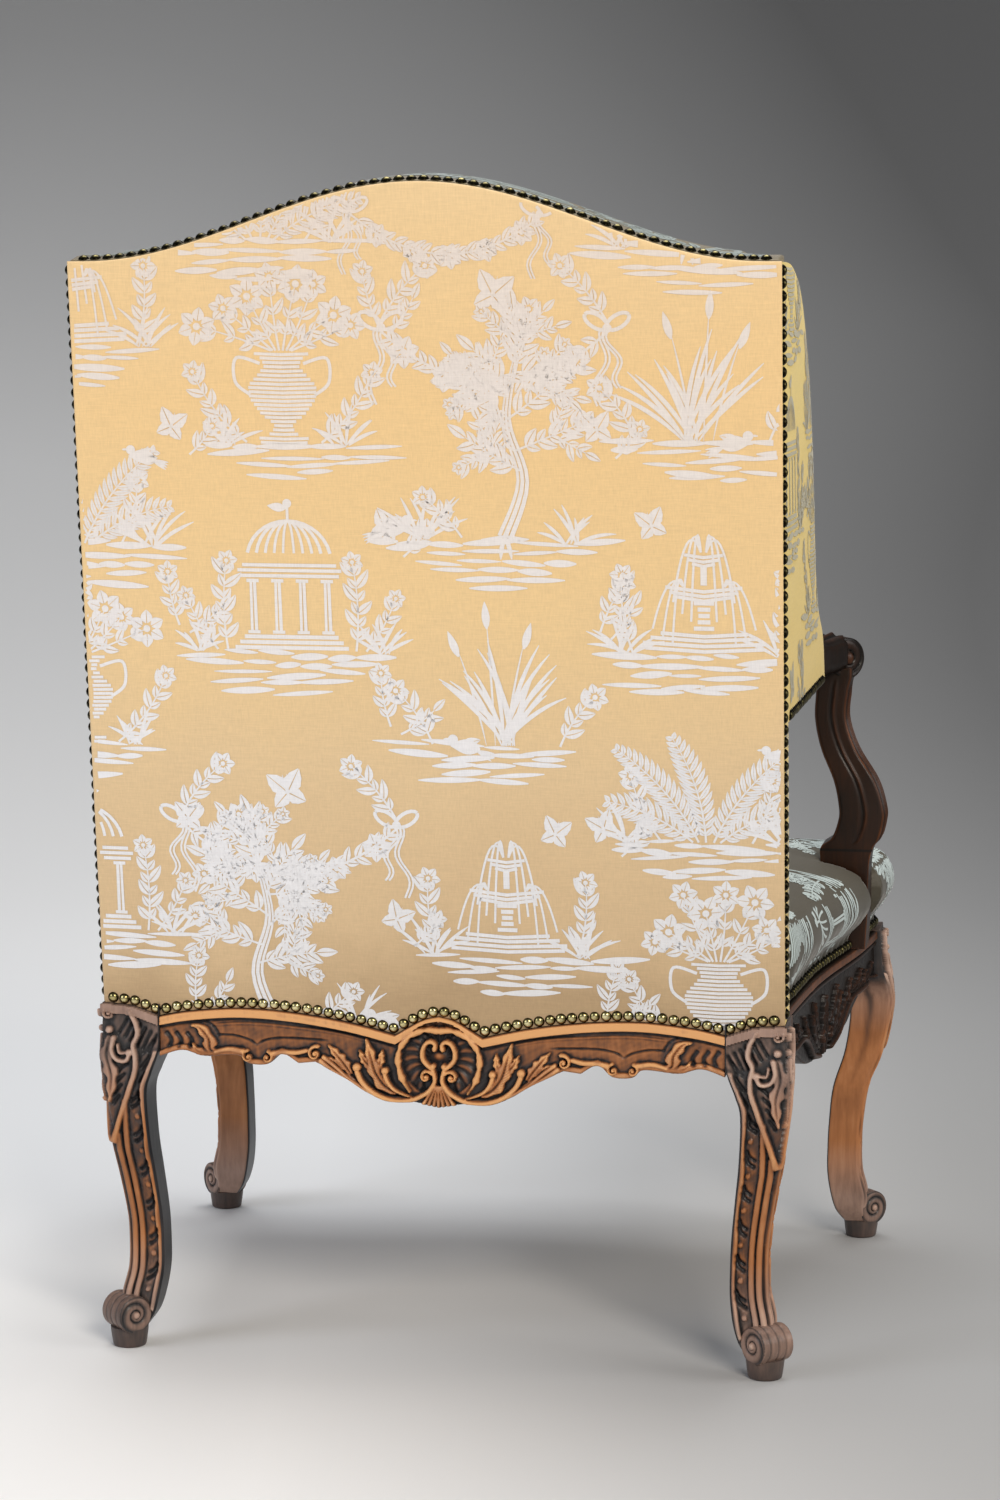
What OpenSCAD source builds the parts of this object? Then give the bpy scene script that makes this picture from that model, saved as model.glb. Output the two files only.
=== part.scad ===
// Winged armchair with a carved show-wood frame, open arms and a fixed, domed seat.
// Millimetres, +Z up. The chair faces -Y and stands on Z = 0.
// Its origin is the middle of its footprint.
// Modelled from the back corner: rear of the seat frame at Y = 0, its front at Y = -frame_depth.

/* [Seat frame] */
// Height of the top of the seat rails above the floor
rail_top = 355; // [320:1:390]
// Width of the frame over the back legs
rear_width = 686; // [600:1:760]
// Width of the frame over the front legs
front_width = 776; // [690:1:860]
// Depth of the frame from the rear face of the back rail to the front face of the front legs
frame_depth = 610; // [540:1:680]
// Thickness of the four seat rails
rail_thickness = 30; // [24:1:38]
// Height of the rails at their middle, from the tip of the carving to the top
rail_depth = 94; // [80:1:105]
// Height of the plain rail between the carvings
rail_web = 50; // [44:1:60]
// Forward bow of the front rail
front_bow = 14; // [0:1:30]
// Depth of the step in the back rail that the outside cover is nailed into
rebate = 10; // [7:1:13]

/* [Legs] */
// Width of the square block at the top of each leg
leg_block = 60; // [52:1:66]
// Width of the leg at the knee, just below the block
knee_width = 43; // [38:1:50]
// Width of the leg at the ankle
ankle_width = 34; // [28:1:40]
// Distance that the ankle stands in from the corner of the frame
ankle_set_in = 22; // [14:1:30]
// Extra swell of the front knees past the frame
front_knee_swell = 11; // [0:1:16]
// Diameter of the scroll of the foot
foot_scroll_diameter = 37; // [30:1:44]
// Length of the scroll of the foot
foot_scroll_length = 37; // [30:1:44]
// Distance from the corner of the frame to the middle of the foot, along X and along Y
foot_set_in = 20; // [14:1:26]
// Height of the pad under the scroll
pad_height = 17; // [12:1:24]
// Diameter of the pad on the floor
pad_diameter = 33; // [26:1:40]

/* [Back] */
// Height of the shoulders of the back above the floor
shoulder_height = 1088; // [980:1:1180]
// Rise of the arched crest above the shoulders
crest_rise = 74; // [40:1:100]
// Width of the arched part of the crest
crest_span = 650; // [520:1:660]
// Lean of the back, in degrees from upright
recline = 7.2; // [4:0.1:11]
// Width of each back post
post_width = 36; // [30:1:42]
// Depth of each back post, from back to front
post_depth = 40; // [34:1:46]
// Height of the crest rail
crest_rail_height = 70; // [50:1:90]
// Height of the stuffing rail above the seat
stuffing_rail_height = 50; // [36:1:64]
// Height of the stuffing rail above the seat frame
stuffing_rail_lift = 96; // [80:1:120]

/* [Wings and arms] */
// Height of the lower edge of the wings, at the underside of the arms
arm_height = 650; // [600:1:700]
// Forward reach of the wings at the arms, from the back face
wing_reach = 411; // [340:1:420]
// Forward reach of the wings at their waist, above the arms
wing_waist = 275; // [220:1:320]
// Width of the shaped board that makes the front edge of a wing
wing_board_width = 34; // [26:1:44]
// Thickness of the shaped board of a wing
wing_board_thickness = 20; // [16:1:24]
// Thickness of an arm across the chair
arm_thickness = 30; // [25:1:34]
// Height of an arm from its underside to its top
arm_depth = 38; // [30:1:46]
// Diameter of the scroll at the end of an arm
arm_scroll_diameter = 44; // [38:1:50]
// Length of the scroll at the end of an arm
arm_scroll_length = 42; // [36:1:50]
// Distance from the front of the frame back to the middle of the arm supports
support_set_back = 152; // [130:1:190]
// Thickness of an arm support from back to front, at its middle
support_depth = 40; // [32:1:48]
// Outward swell of an arm support past its foot
support_swell = 18; // [8:1:26]

/* [Upholstery] */
// Thickness of the figured cover and its lining
cover = 2; // [1.5:0.1:3]
// Thickness of the padding over the top of the crest rail and the shoulders
top_padding = 8; // [5:1:14]
// Height of the crown of the seat above the rails
seat_crown = 108; // [85:1:125]
// Swell of the seat over the front and side rails
seat_swell = 25; // [12:1:32]
// Thickness of the padding along the edges of the inside back
back_edge_padding = 26; // [18:1:36]
// Crown of the inside back past its edges
back_crown = 30; // [14:1:44]
// Crown of the inside of each wing past the wing board
wing_crown = 16; // [8:1:24]
// Width of the webbing
web_width = 50; // [38:1:60]
// Diameter of the head of an upholstery nail
nail_diameter = 10.6; // [8:0.1:13]
// Distance between nails along the back rail
nail_pitch = 11.1; // [11:0.1:14]
// Distance between nails along the posts, the crest, the wings and the seat
edge_nail_pitch = 11.8; // [11:0.1:14]

/* [Joinery] */
// Thickness of the tenons of the rails
tenon_thickness = 10; // [8:1:12]
// Length of the tenons of the rails
tenon_length = 25; // [18:1:28]
// Diameter of the pegs that pin the tenons
peg_diameter = 7; // [5:1:8]

/* [Hidden] */

walnut = "#7a4a2b";
beech = "#c9a26b";
linen = "#b59f78";
gold_silk = "#e2c27c";
taupe_silk = "#8d7c66";
antique_brass = "#8c8150";
black_webbing = "#5b5347";

// Clearance between a soft piece and its neighbour, and around a tenon
soft_gap = 0.3;
tenon_gap = 0.1;

rear_half = rear_width / 2;
front_half = front_width / 2;
back_half = rear_half - 2;
web_thickness = 2;
hessian_thickness = 1.5;

// Depth of the layers behind the padding of the inside back, from the outside face forwards
pad_plane = cover + post_depth + web_thickness + hessian_thickness;

// The outside cover stands this far in front of the rear face of the back rail
cover_set_in = 4;
// The front rail stands this far behind the front faces of the legs
front_face_y = -frame_depth + 4;
// Width of the moulding left bare outside the foot of the seat cover
nail_ledge = 5;
shoulder_h = (shoulder_height - rail_top) / cos(recline);

// Y of the outside face of the back at height z
function back_y(z) = -cover_set_in + (z - rail_top) * tan(recline);

// A smooth curve through the points p, with n steps from each point to the next
function spline(a, b, c, d, t) =
    0.5 * (2 * b + (c - a) * t + (2 * a - 5 * b + 4 * c - d) * t * t + (3 * b - a - 3 * c + d) * t * t * t);
function smooth(p, n) = [
    for (i = [0:len(p) - 2])
        for (k = [0:n - 1])
            spline(p[max(i - 1, 0)], p[i], p[i + 1], p[min(i + 2, len(p) - 1)], k / n),
    p[len(p) - 1]
];
function reversed(p) = [for (i = [len(p) - 1:-1:0]) p[i]];
function flipped(p) = [for (q = p) [-q[0], q[1]]];

// Everything is drawn from the back corner, then moved so that the origin is the middle of the footprint
rearmost = back_y(shoulder_height) + crest_rise * tan(recline);
foremost = front_face_y - front_bow + nail_ledge - seat_swell;
module placed() {
    translate([0, -(rearmost + foremost) / 2, 0]) children();
}
// The plane of the back: origin at the seat frame, +Z up the slope, +Y out of the back
module on_back() {
    translate([0, -cover_set_in, rail_top]) rotate([-recline, 0, 0]) children();
}
module mirrored(side) {
    if (side > 0) children();
    else mirror([1, 0, 0]) children();
}
// A profile in X and Z, extruded along Y from y0 to y1
module profile_xz(points, y0, y1) {
    translate([0, y1, 0]) rotate([90, 0, 0]) linear_extrude(y1 - y0) polygon(points);
}
// A profile in Y and Z, extruded along X from x0 to x1
module profile_yz(points, x0, x1) {
    translate([x0, 0, 0]) rotate([90, 0, 90]) linear_extrude(x1 - x0) polygon(points);
}

// Flat spiral ribbon of a carved scroll: its eye at the origin, its outer end at the angle start
function spiral_r(r, k) = r * pow(0.36, k);
function scroll_points(r, start, turn, hand, n = 30) = [
    for (i = [0:n])
        let (k = i / n, a = start + hand * turn * k)
            spiral_r(r, k) * [cos(a), sin(a)],
    for (i = [n:-1:0])
        let (k = i / n, a = start + hand * turn * k)
            0.70 * spiral_r(r, k) * [cos(a), sin(a)]
];
module scroll(r, start, turn, hand, rise) {
    linear_extrude(rise) polygon(scroll_points(r, start, turn, hand));
    cylinder(r = 0.34 * r, h = rise * 1.2, $fn = 24);
}
// A carved leaf lying on XY: its stem at the origin, its tip along +X, with a raised midrib
function leaf_points(l, w) = concat(
    smooth([[0, 0], [0.22 * l, 0.50 * w], [0.55 * l, 0.46 * w], [l, 0]], 4),
    reversed(smooth([[0, 0], [0.22 * l, -0.50 * w], [0.55 * l, -0.46 * w], [l, 0]], 4))
);
module leaf(l, w, rise) {
    linear_extrude(rise) polygon(leaf_points(l, w));
    translate([0, 0, rise]) rotate([0, 90, 0]) cylinder(r1 = 0.13 * w, r2 = 0.03 * w, h = l, $fn = 14);
}
// A strap of round section that runs through the points p of a face
module strap(p, width, rise) {
    n = len(p);
    linear_extrude(rise) polygon(concat(
        [for (i = [0:n - 1]) p[i] + width / 2 * normal_at(p, i)],
        [for (i = [n - 1:-1:0]) p[i] - width / 2 * normal_at(p, i)]
    ));
}
function unit(v) = v / norm(v);
function normal_at(p, i) =
    let (d = unit(p[min(i + 1, len(p) - 1)] - p[max(i - 1, 0)])) [-d[1], d[0]];

// Legs. Stations from the top down: height, how far the outer face stands out, and the width.
function leg_stations(swell, z_top) = [
    [z_top, 0, leg_block],
    [z_top - 34, 0.25 * swell, leg_block + 0.25 * swell - 0.12],
    [z_top - 44, 0.35 * swell, leg_block + 0.35 * swell - 0.8],
    [z_top - 56, 0.6 * swell, leg_block + 0.6 * swell - 4],
    [z_top - 72, 0.9 * swell - 1, knee_width + 6],
    [z_top - 92, swell - 2, knee_width],
    [z_top - 139, 0.7 * swell - 0.35 * ankle_set_in, knee_width - 4],
    [z_top - 180, -0.68 * ankle_set_in, ankle_width + 2],
    [z_top - 220, -0.95 * ankle_set_in, ankle_width],
    [foot_scroll_z + 72, -ankle_set_in, ankle_width],
    [foot_scroll_z + 45, -0.95 * ankle_set_in, ankle_width + 1],
    [foot_scroll_z + 20, -0.70 * ankle_set_in, ankle_width + 3],
    [foot_scroll_z, -foot_set_in + 4, ankle_width - 3],
    [foot_scroll_z - 14, -foot_set_in + 6, 24]
];
foot_scroll_z = pad_height - 1 + foot_scroll_diameter / 2;
function leg_profile(swell, proud = 0) =
    let (s = smooth(leg_stations(swell, rail_top), 4))
        concat([for (q = s) [q[1] + proud, q[0]]], reversed([for (q = s) [q[1] - q[2], q[0]]]));

// A leg under the corner at the origin, with the chair towards -X and -Y
module leg_blank(swell) {
    far = -leg_block - 10;
    intersection() {
        profile_xz(leg_profile(swell), far, 30);
        profile_yz(leg_profile(swell), far, 30);
    }
    translate([-foot_set_in, -foot_set_in, 0]) {
        cylinder(d1 = pad_diameter, d2 = pad_diameter + 5, h = pad_height + 2, $fn = 32);
        translate([2, 2, foot_scroll_z]) rotate([0, 0, -45]) foot_scroll();
    }
}
// The rolled foot: a drum across the diagonal with a spiral on both ends
module foot_scroll() {
    half = foot_scroll_length / 2;
    rotate([0, 90, 0]) cylinder(d = foot_scroll_diameter, h = foot_scroll_length, center = true, $fn = 48);
    for (side = [-1, 1])
        mirrored(side) translate([half - 1, 0, 0]) rotate([90, 0, 90])
            scroll(foot_scroll_diameter / 2, -90, 520, 1, 3);
}
// Carving on one outer face of a knee, drawn on XY with X towards the corner and Y up.
// It is as deep as carving_depth, and the leg's own shape trims it to a low relief.
carving_depth = 26;
carving_relief = 2.4;
module knee_carving() {
    translate([-16, -34, 0]) scroll(9, 120, 500, 1, carving_depth);
    translate([-9, -15, 0]) cylinder(d = 7, h = carving_depth, $fn = 24);
    translate([-9, -20, 0]) rotate([0, 0, -86]) linear_extrude(carving_depth) polygon(leaf_points(72, 11));
    strap(smooth([[-40, -14], [-44, -36], [-36, -62], [-22, -92], [-12, -118]], 4), 4, carving_depth);
    strap(smooth([[-52, -56], [-46, -84], [-45, -110], [-52, -150]], 4), 3.4, carving_depth);
}
module leg_carving(swell) {
    depth = swell + carving_relief - carving_depth;
    intersection() {
        union() {
            translate([0, depth, rail_top - 8]) rotate([90, 0, 0]) mirror([0, 0, 1]) knee_carving();
            translate([depth, 0, rail_top - 8]) rotate([90, 0, 90]) knee_carving();
        }
        profile_xz(leg_profile(swell, carving_relief), -leg_block, 30);
        profile_yz(leg_profile(swell, carving_relief), -leg_block, 30);
    }
}

// Where the rails meet the legs
side_rear_x = rear_half - 11;
side_front_x = front_half - 5;
side_rear_y = -leg_block;
side_front_y = -frame_depth + leg_block;
// Plan curve of the outer face of the side rails, from back to front
side_plan = [
    [side_rear_x, side_rear_y],
    [side_rear_x + 0.28 * (side_front_x - side_rear_x), side_rear_y + 0.43 * (side_front_y - side_rear_y)],
    [side_rear_x + 0.80 * (side_front_x - side_rear_x), side_rear_y + 0.80 * (side_front_y - side_rear_y)],
    [side_front_x, side_front_y]
];
side_curve = smooth(side_plan, 8);
function side_x(y) = lookup(-y, [for (q = side_curve) [-q[1], q[0]]]);
// Y of the outer face of the front rail at x
front_inner = front_half - leg_block;
function bow_y(x) = front_face_y - front_bow * (0.5 + 0.5 * cos(180 * min(1, abs(x) / front_inner)));

// Serpentine edges of the back rail and the back legs, as height below the rail top at x
back_inner = rear_half - leg_block;
function rail_crest(half) = [
    [0, -3], [0.065 * half, -8], [0.155 * half, -23], [0.32 * half, -12], [0.52 * half, -4],
    [0.71 * half, -1.5], [0.89 * half, -6], [half, -12], [half + 28, -2.5], [half + leg_block, 0]
];
function rail_foot(half) = [
    [0, -rail_depth], [0.10 * half, -rail_depth + 4], [0.21 * half, -rail_depth + 6],
    [0.33 * half, -rail_web - 18], [0.44 * half, -rail_web - 3], [0.50 * half, -rail_web - 5],
    [0.56 * half, -rail_web + 4], [0.61 * half, -rail_web - 7], [0.68 * half, -rail_web - 7],
    [0.72 * half, -rail_web + 1], [0.84 * half, -rail_web - 1], [0.92 * half, -rail_web + 4],
    [half, -rail_web - 3]
];
function rail_outline(top, foot) = concat(
    reversed(flipped(top)), top,
    reversed(foot), flipped(foot)
);
// Top edge of the carved moulding of the back rail, with its cusps kept sharp
function crest_line(half) =
    let (p = rail_crest(half))
        concat(smooth([p[0], p[1], p[2]], 5), smooth([for (i = [2:7]) p[i]], 5));
function foot_line(half) =
    let (p = rail_foot(half))
        concat(smooth([p[0], p[1], p[2], p[3], p[4]], 4), smooth([for (i = [5:12]) p[i]], 3));
// Height of that edge at x, on the rail and on the leg blocks
function crest_edge(x) =
    let (p = rail_crest(back_inner))
        abs(x) < back_inner ? lookup(abs(x), crest_line(back_inner)) : lookup(abs(x), [p[7], p[8], p[9]]);

// Raised moulding along the top edge of a rail
module top_moulding(half, rise) {
    line = crest_line(half);
    for (side = [-1, 1])
        mirrored(side)
            linear_extrude(rise) polygon(concat(line, reversed([for (q = line) q - [0, 9]])));
}
// The cartouche at the middle of a rail: a ruffled shell, paired scrolls and a fan below them
shell_rays = 11;
module shell_cartouche() {
    translate([0, -44, 0]) {
        for (i = [0:shell_rays - 1])
            rotate([0, 0, -25 + 230 * i / (shell_rays - 1)]) translate([10, 0, 0]) rotate([0, 90, 0])
                cylinder(r1 = 1.6, r2 = 5, h = 26, $fn = 16);
        linear_extrude(3) circle(r = 30, $fn = 48);
    }
    for (side = [-1, 1])
        mirrored(side) {
            translate([12, -62, 0]) scroll(10, 200, 560, 1, 6);
            translate([9, -36, 0]) scroll(7, -60, 480, 1, 6);
            strap(smooth([[4, -78], [8, -72], [14, -74], [30, -82], [46, -84]], 4), 4, 5);
            for (i = [0:2])
                translate([0, -70, 0]) rotate([0, 0, -84 + 16 * i]) leaf(rail_depth - 72 - i, 6, 3);
        }
    translate([0, -70, 0]) rotate([0, 0, -90]) leaf(rail_depth - 71, 7, 4);
}
// Sprays of leaves that sweep out from the foot of the cartouche to the small scrolls of the lower edge
module rail_sprays(half) {
    for (side = [-1, 1])
        mirrored(side) {
            translate([0.15 * half, -80, 0]) rotate([0, 0, 12]) leaf(42, 9, 3);
            translate([0.20 * half, -78, 0]) rotate([0, 0, 34]) leaf(44, 10, 4);
            translate([0.20 * half, -76, 0]) rotate([0, 0, 56]) leaf(40, 9, 4);
            strap(smooth([[0.20 * half, -84], [0.32 * half, -66], [0.44 * half, -rail_web]], 5), 4.5, 4);
            translate([0.475 * half, -rail_web + 1, 0]) scroll(7.5, 170, 500, 1, 5);
            strap(smooth([[0.50 * half, -rail_web + 6], [0.55 * half, -rail_web + 6],
                [0.60 * half, -rail_web + 1]], 4), 3.6, 4);
            translate([0.615 * half, -rail_web - 1, 0]) scroll(7, 40, 500, -1, 5);
            translate([0.675 * half, -rail_web - 1, 0]) scroll(7, 140, 500, 1, 5);
            strap(smooth([[0.69 * half, -rail_web + 6], [0.75 * half, -rail_web + 5],
                [0.80 * half, -rail_web + 6]], 4), 3.6, 4);
            translate([0.82 * half, -rail_web + 6, 0]) rotate([0, 0, 40]) leaf(24, 12, 4);
            translate([0.86 * half, -rail_web + 12, 0]) rotate([0, 0, -20]) leaf(34, 11, 3);
        }
}
// Relief of a whole rail on XY, with Y = 0 at the rail top
module rail_relief(half) {
    intersection() {
        union() {
            top_moulding(half, 3);
            shell_cartouche();
            rail_sprays(half);
        }
        linear_extrude(12) polygon(rail_outline(crest_line(half), foot_line(half)));
    }
}
// Tenons stand on both ends of a rail that runs along X, and start inside it at their root
tenon_height = rail_web - 16;
tenon_root = 1;
module tenon(gap) {
    t = tenon_thickness / 2 + gap;
    translate([-tenon_root, -t, -rail_web + 8 - gap])
        cube([tenon_root + tenon_length + gap, 2 * t, tenon_height + 2 * gap]);
}

back_rail_mid_y = -3 - rail_thickness / 2;
module back_rail() color(walnut) placed() difference() {
    back_rail_blank();
    for (side = [-1, 1])
        mirrored(side) back_pegs(0);
}
module back_rail_blank() {
    face_y = -3;
    translate([0, face_y, rail_top]) rotate([90, 0, 0]) {
        linear_extrude(rebate - 3)
            polygon(rail_outline(crest_line(back_inner), foot_line(back_inner)));
        translate([0, 0, rebate - 3]) linear_extrude(rail_thickness - rebate + 3)
            polygon(rail_outline([[0, 0], [back_inner, 0]], foot_line(back_inner)));
    }
    translate([0, face_y, rail_top]) rotate([90, 0, 0]) mirror([0, 0, 1]) rail_relief(back_inner);
    for (side = [-1, 1])
        mirrored(side) translate([back_inner, back_rail_mid_y, rail_top]) tenon(0);
}

front_rail_mid_y = front_face_y + rail_thickness / 2;
function front_outline(inset, n = 24) = [
    for (i = [0:n]) let (x = front_inner * (2 * i / n - 1)) [x, bow_y(x) + inset]
];
module front_rail() color(walnut) placed() difference() {
    front_rail_blank();
    for (side = [-1, 1])
        mirrored(side) front_pegs(0);
}
module front_rail_blank() {
    intersection() {
        translate([0, 0, rail_top - rail_depth - 1]) linear_extrude(rail_depth + 1)
            polygon(concat(front_outline(0), reversed(front_outline(rail_thickness))));
        translate([0, 0, rail_top]) profile_xz(
            rail_outline([[0, 0], [front_inner, 0]], foot_line(front_inner)),
            -frame_depth - 60, 0);
    }
    translate([0, bow_y(0) + 2, rail_top]) rotate([90, 0, 0]) intersection() {
        shell_cartouche();
        linear_extrude(12) polygon(rail_outline([[0, -4], [front_inner, -4]], foot_line(front_inner)));
    }
    for (side = [-1, 1])
        mirrored(side) translate([front_inner, front_rail_mid_y, rail_top]) tenon(0);
}

// Side rails: elevation in Y and Z, with the apron deepest at the middle
module side_rail_blank() {
    span = side_rear_y - side_front_y;
    lower = smooth([for (p = [[0, -3], [0.07, 3], [0.20, -10], [0.34, -34], [0.5, -40],
        [0.66, -34], [0.80, -10], [0.93, 3], [1, -3]])
        [side_rear_y - p[0] * span, rail_top - rail_web + p[1]]], 4);
    intersection() {
        translate([0, 0, rail_top - rail_depth - 10]) linear_extrude(rail_depth + 10) polygon(concat(
            side_curve, reversed([for (q = side_curve) q - [rail_thickness, 0]])));
        profile_yz(concat([[side_front_y, rail_top], [side_rear_y, rail_top]], lower), 0, front_half + 20);
    }
}
// Carving of a side rail on XY, with X along the rail and its middle at the origin
module side_rail_carving() {
    for (side = [-1, 1])
        mirrored(side) {
            translate([14, -70, 0]) scroll(10, 200, 520, 1, 5);
            translate([24, -66, 0]) rotate([0, 0, 30]) leaf(52, 11, 4);
            translate([20, -52, 0]) rotate([0, 0, 55]) leaf(40, 10, 4);
            translate([96, -46, 0]) scroll(8, 170, 500, 1, 4);
        }
    translate([0, -84, 0]) rotate([0, 0, 90]) leaf(66, 22, 5);
}
module side_rail() difference() {
    side_rail_solid();
    back_pegs(0);
    front_pegs(0);
}
module side_rail_solid() {
    side_rail_blank();
    middle_y = (side_rear_y + side_front_y) / 2;
    lean = atan2(side_front_x - side_rear_x, side_rear_y - side_front_y);
    intersection() {
        translate([side_x(middle_y) - 2, middle_y, rail_top]) rotate([0, 0, 90 + lean]) rotate([90, 0, 0])
            mirror([1, 0, 0]) side_rail_carving();
        translate([0, -frame_depth, rail_top - rail_depth + 4])
            cube([front_half + 30, frame_depth, rail_depth - 14]);
    }
    translate([side_rear_x - rail_thickness / 2, side_rear_y, rail_top]) rotate([0, 0, 90]) tenon(0);
    translate([side_front_x - rail_thickness / 2, side_front_y, rail_top]) rotate([0, 0, -90]) tenon(0);
}
module side_rail_left() color(walnut) placed() side_rail();
module side_rail_right() color(walnut) placed() mirror([1, 0, 0]) side_rail();

// Pegs pin each tenon near its root
peg_set_in = 12;
peg_z = rail_top - rail_web / 2;
module peg(gap, length) {
    cylinder(d = peg_diameter - 2 * gap, h = length, $fn = 32);
}
// Pegs of one back leg and one front leg, from the outer faces inwards
module back_pegs(gap) {
    depth = leg_block - 20;
    translate([back_inner + peg_set_in, -leg_block + 4, peg_z]) rotate([-90, 0, 0]) peg(gap, depth);
    translate([back_inner + 14, side_rear_y + peg_set_in, peg_z - 9]) rotate([0, 90, 0]) peg(gap, depth - 4);
}
module front_pegs(gap) {
    depth = leg_block - 20;
    translate([front_inner + peg_set_in, -frame_depth + 16, peg_z]) rotate([-90, 0, 0]) peg(gap, depth);
    translate([front_inner + 10, side_front_y - peg_set_in, peg_z - 9]) rotate([0, 90, 0]) peg(gap, depth);
}
module joint_pegs() color(beech) placed() {
    for (side = [-1, 1])
        mirrored(side) {
            back_pegs(0.05);
            front_pegs(0.05);
        }
}

// Back post on the plane of the back, at the left
post_outer = back_half - cover;
post_inner = post_outer - post_width;
module post(extra = 0) {
    translate([post_inner - extra, -cover - post_depth - extra, -30])
        cube([post_width + 2 * extra, post_depth + 2 * extra, shoulder_h - top_padding + 30 + extra]);
}
module back_leg() {
    difference() {
        union() {
            translate([rear_half, 0, 0]) {
                leg_blank(0);
                leg_carving(0);
            }
            on_back() post();
        }
        // Rebate for the outside cover, down to the cusped edge
        profile_xz(concat(
            [for (i = [0:12]) let (x = back_inner - 1 + i * (leg_block + 12) / 12)
                [x, rail_top + crest_edge(x)]],
            [[rear_half + 11, rail_top + 0.01], [back_inner - 1, rail_top + 0.01]]),
            -rebate, 20);
        translate([back_inner, back_rail_mid_y, rail_top]) tenon(tenon_gap);
        translate([side_rear_x - rail_thickness / 2, side_rear_y, rail_top]) rotate([0, 0, 90])
            tenon(tenon_gap);
        back_pegs(0);
    }
}
module back_leg_left() color(walnut) placed() back_leg();
module back_leg_right() color(walnut) placed() mirror([1, 0, 0]) back_leg();

module front_leg() {
    difference() {
        translate([front_half, -frame_depth, 0]) mirror([0, 1, 0]) {
            leg_blank(front_knee_swell);
            leg_carving(front_knee_swell);
        }
        translate([front_inner, front_rail_mid_y, rail_top]) tenon(tenon_gap);
        translate([side_front_x - rail_thickness / 2, side_front_y, rail_top]) rotate([0, 0, -90])
            tenon(tenon_gap);
        front_pegs(0);
    }
}
module front_leg_left() color(walnut) placed() front_leg();
module front_leg_right() color(walnut) placed() mirror([1, 0, 0]) front_leg();

// Glued blocks in the four corners of the seat frame
module corner_blocks() color(beech) placed() {
    height = rail_web - 14;
    leg_side = 70;
    for (side = [-1, 1])
        mirrored(side) {
            translate([0, 0, rail_top - height - 4]) linear_extrude(height) polygon([
                [back_inner - 0.2, -3 - rail_thickness - 0.2],
                [back_inner - leg_side, -3 - rail_thickness - 0.2],
                [back_inner - 0.2, -3 - rail_thickness - leg_side]]);
            translate([0, 0, rail_top - height - 4]) linear_extrude(height) polygon([
                [front_inner - 0.2, front_face_y + rail_thickness + 0.2],
                [front_inner - leg_side, front_face_y + rail_thickness + 0.2],
                [front_inner - 0.2, front_face_y + rail_thickness + leg_side]]);
        }
}

// Outline of the back: height of its top edge at x, on the plane of the back
function crest_h(x) =
    shoulder_h + crest_rise / cos(recline) * (0.5 + 0.5 * cos(180 * min(1, abs(x) / (crest_span / 2))));
function crest_points(half, drop, n = 40) = [
    for (i = [0:n]) let (x = half * (2 * i / n - 1)) [x, crest_h(x) - drop]
];
module crest_rail() color(beech) placed() on_back() {
    translate([0, -cover, 0]) rotate([90, 0, 0]) linear_extrude(post_depth) polygon(concat(
        crest_points(post_inner, top_padding),
        reversed(crest_points(post_inner, top_padding + crest_rail_height))));
}
module stuffing_rail() color(beech) placed() on_back() {
    translate([-post_inner, -cover - post_depth, stuffing_rail_lift])
        cube([2 * post_inner, post_depth, stuffing_rail_height]);
}

// Wings, in Y and Z: front edge from the shoulder down to the arm
function wing_edge() =
    let (s = shoulder_height, a = arm_height, w = wing_waist, more = wing_reach - wing_waist)
        smooth([for (q = [
            [s, 0], [s - 5, 0.35 * w], [s - 34, 0.65 * w], [s - 97, 0.87 * w], [s - 165, w],
            [s - 247, w + 0.18 * more], [a + 125, w + 0.29 * more], [a + 83, w + 0.49 * more],
            [a + 50, w + 0.84 * more], [a, wing_reach]])
            [back_y(q[0]) - q[1], q[0]]], 4);
wing_middle = [back_y(arm_height + 150) - 0.45 * wing_waist, arm_height + 150];
function drawn_in(p, c, d) = [for (q = p) q + (c - q) * d / norm(c - q)];
board_outer = post_outer;
board_inner = board_outer - wing_board_thickness;
// Everything behind the front face of the posts
module behind_posts(clear = 0) {
    on_back() translate([0, -cover - post_depth - clear, -400]) cube([front_half + 60, 300, 1400]);
}
module wing_board() {
    edge = drawn_in(wing_edge(), wing_middle, cover);
    difference() {
        profile_yz(concat(edge, reversed(drawn_in(edge, wing_middle, wing_board_width))),
            board_inner, board_outer);
        behind_posts();
        translate([0, -frame_depth - 60, 0])
            cube([front_half + 60, frame_depth + 200, arm_height + arm_depth]);
    }
}
module wing_board_left() color(beech) placed() wing_board();
module wing_board_right() color(beech) placed() mirror([1, 0, 0]) wing_board();

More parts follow.
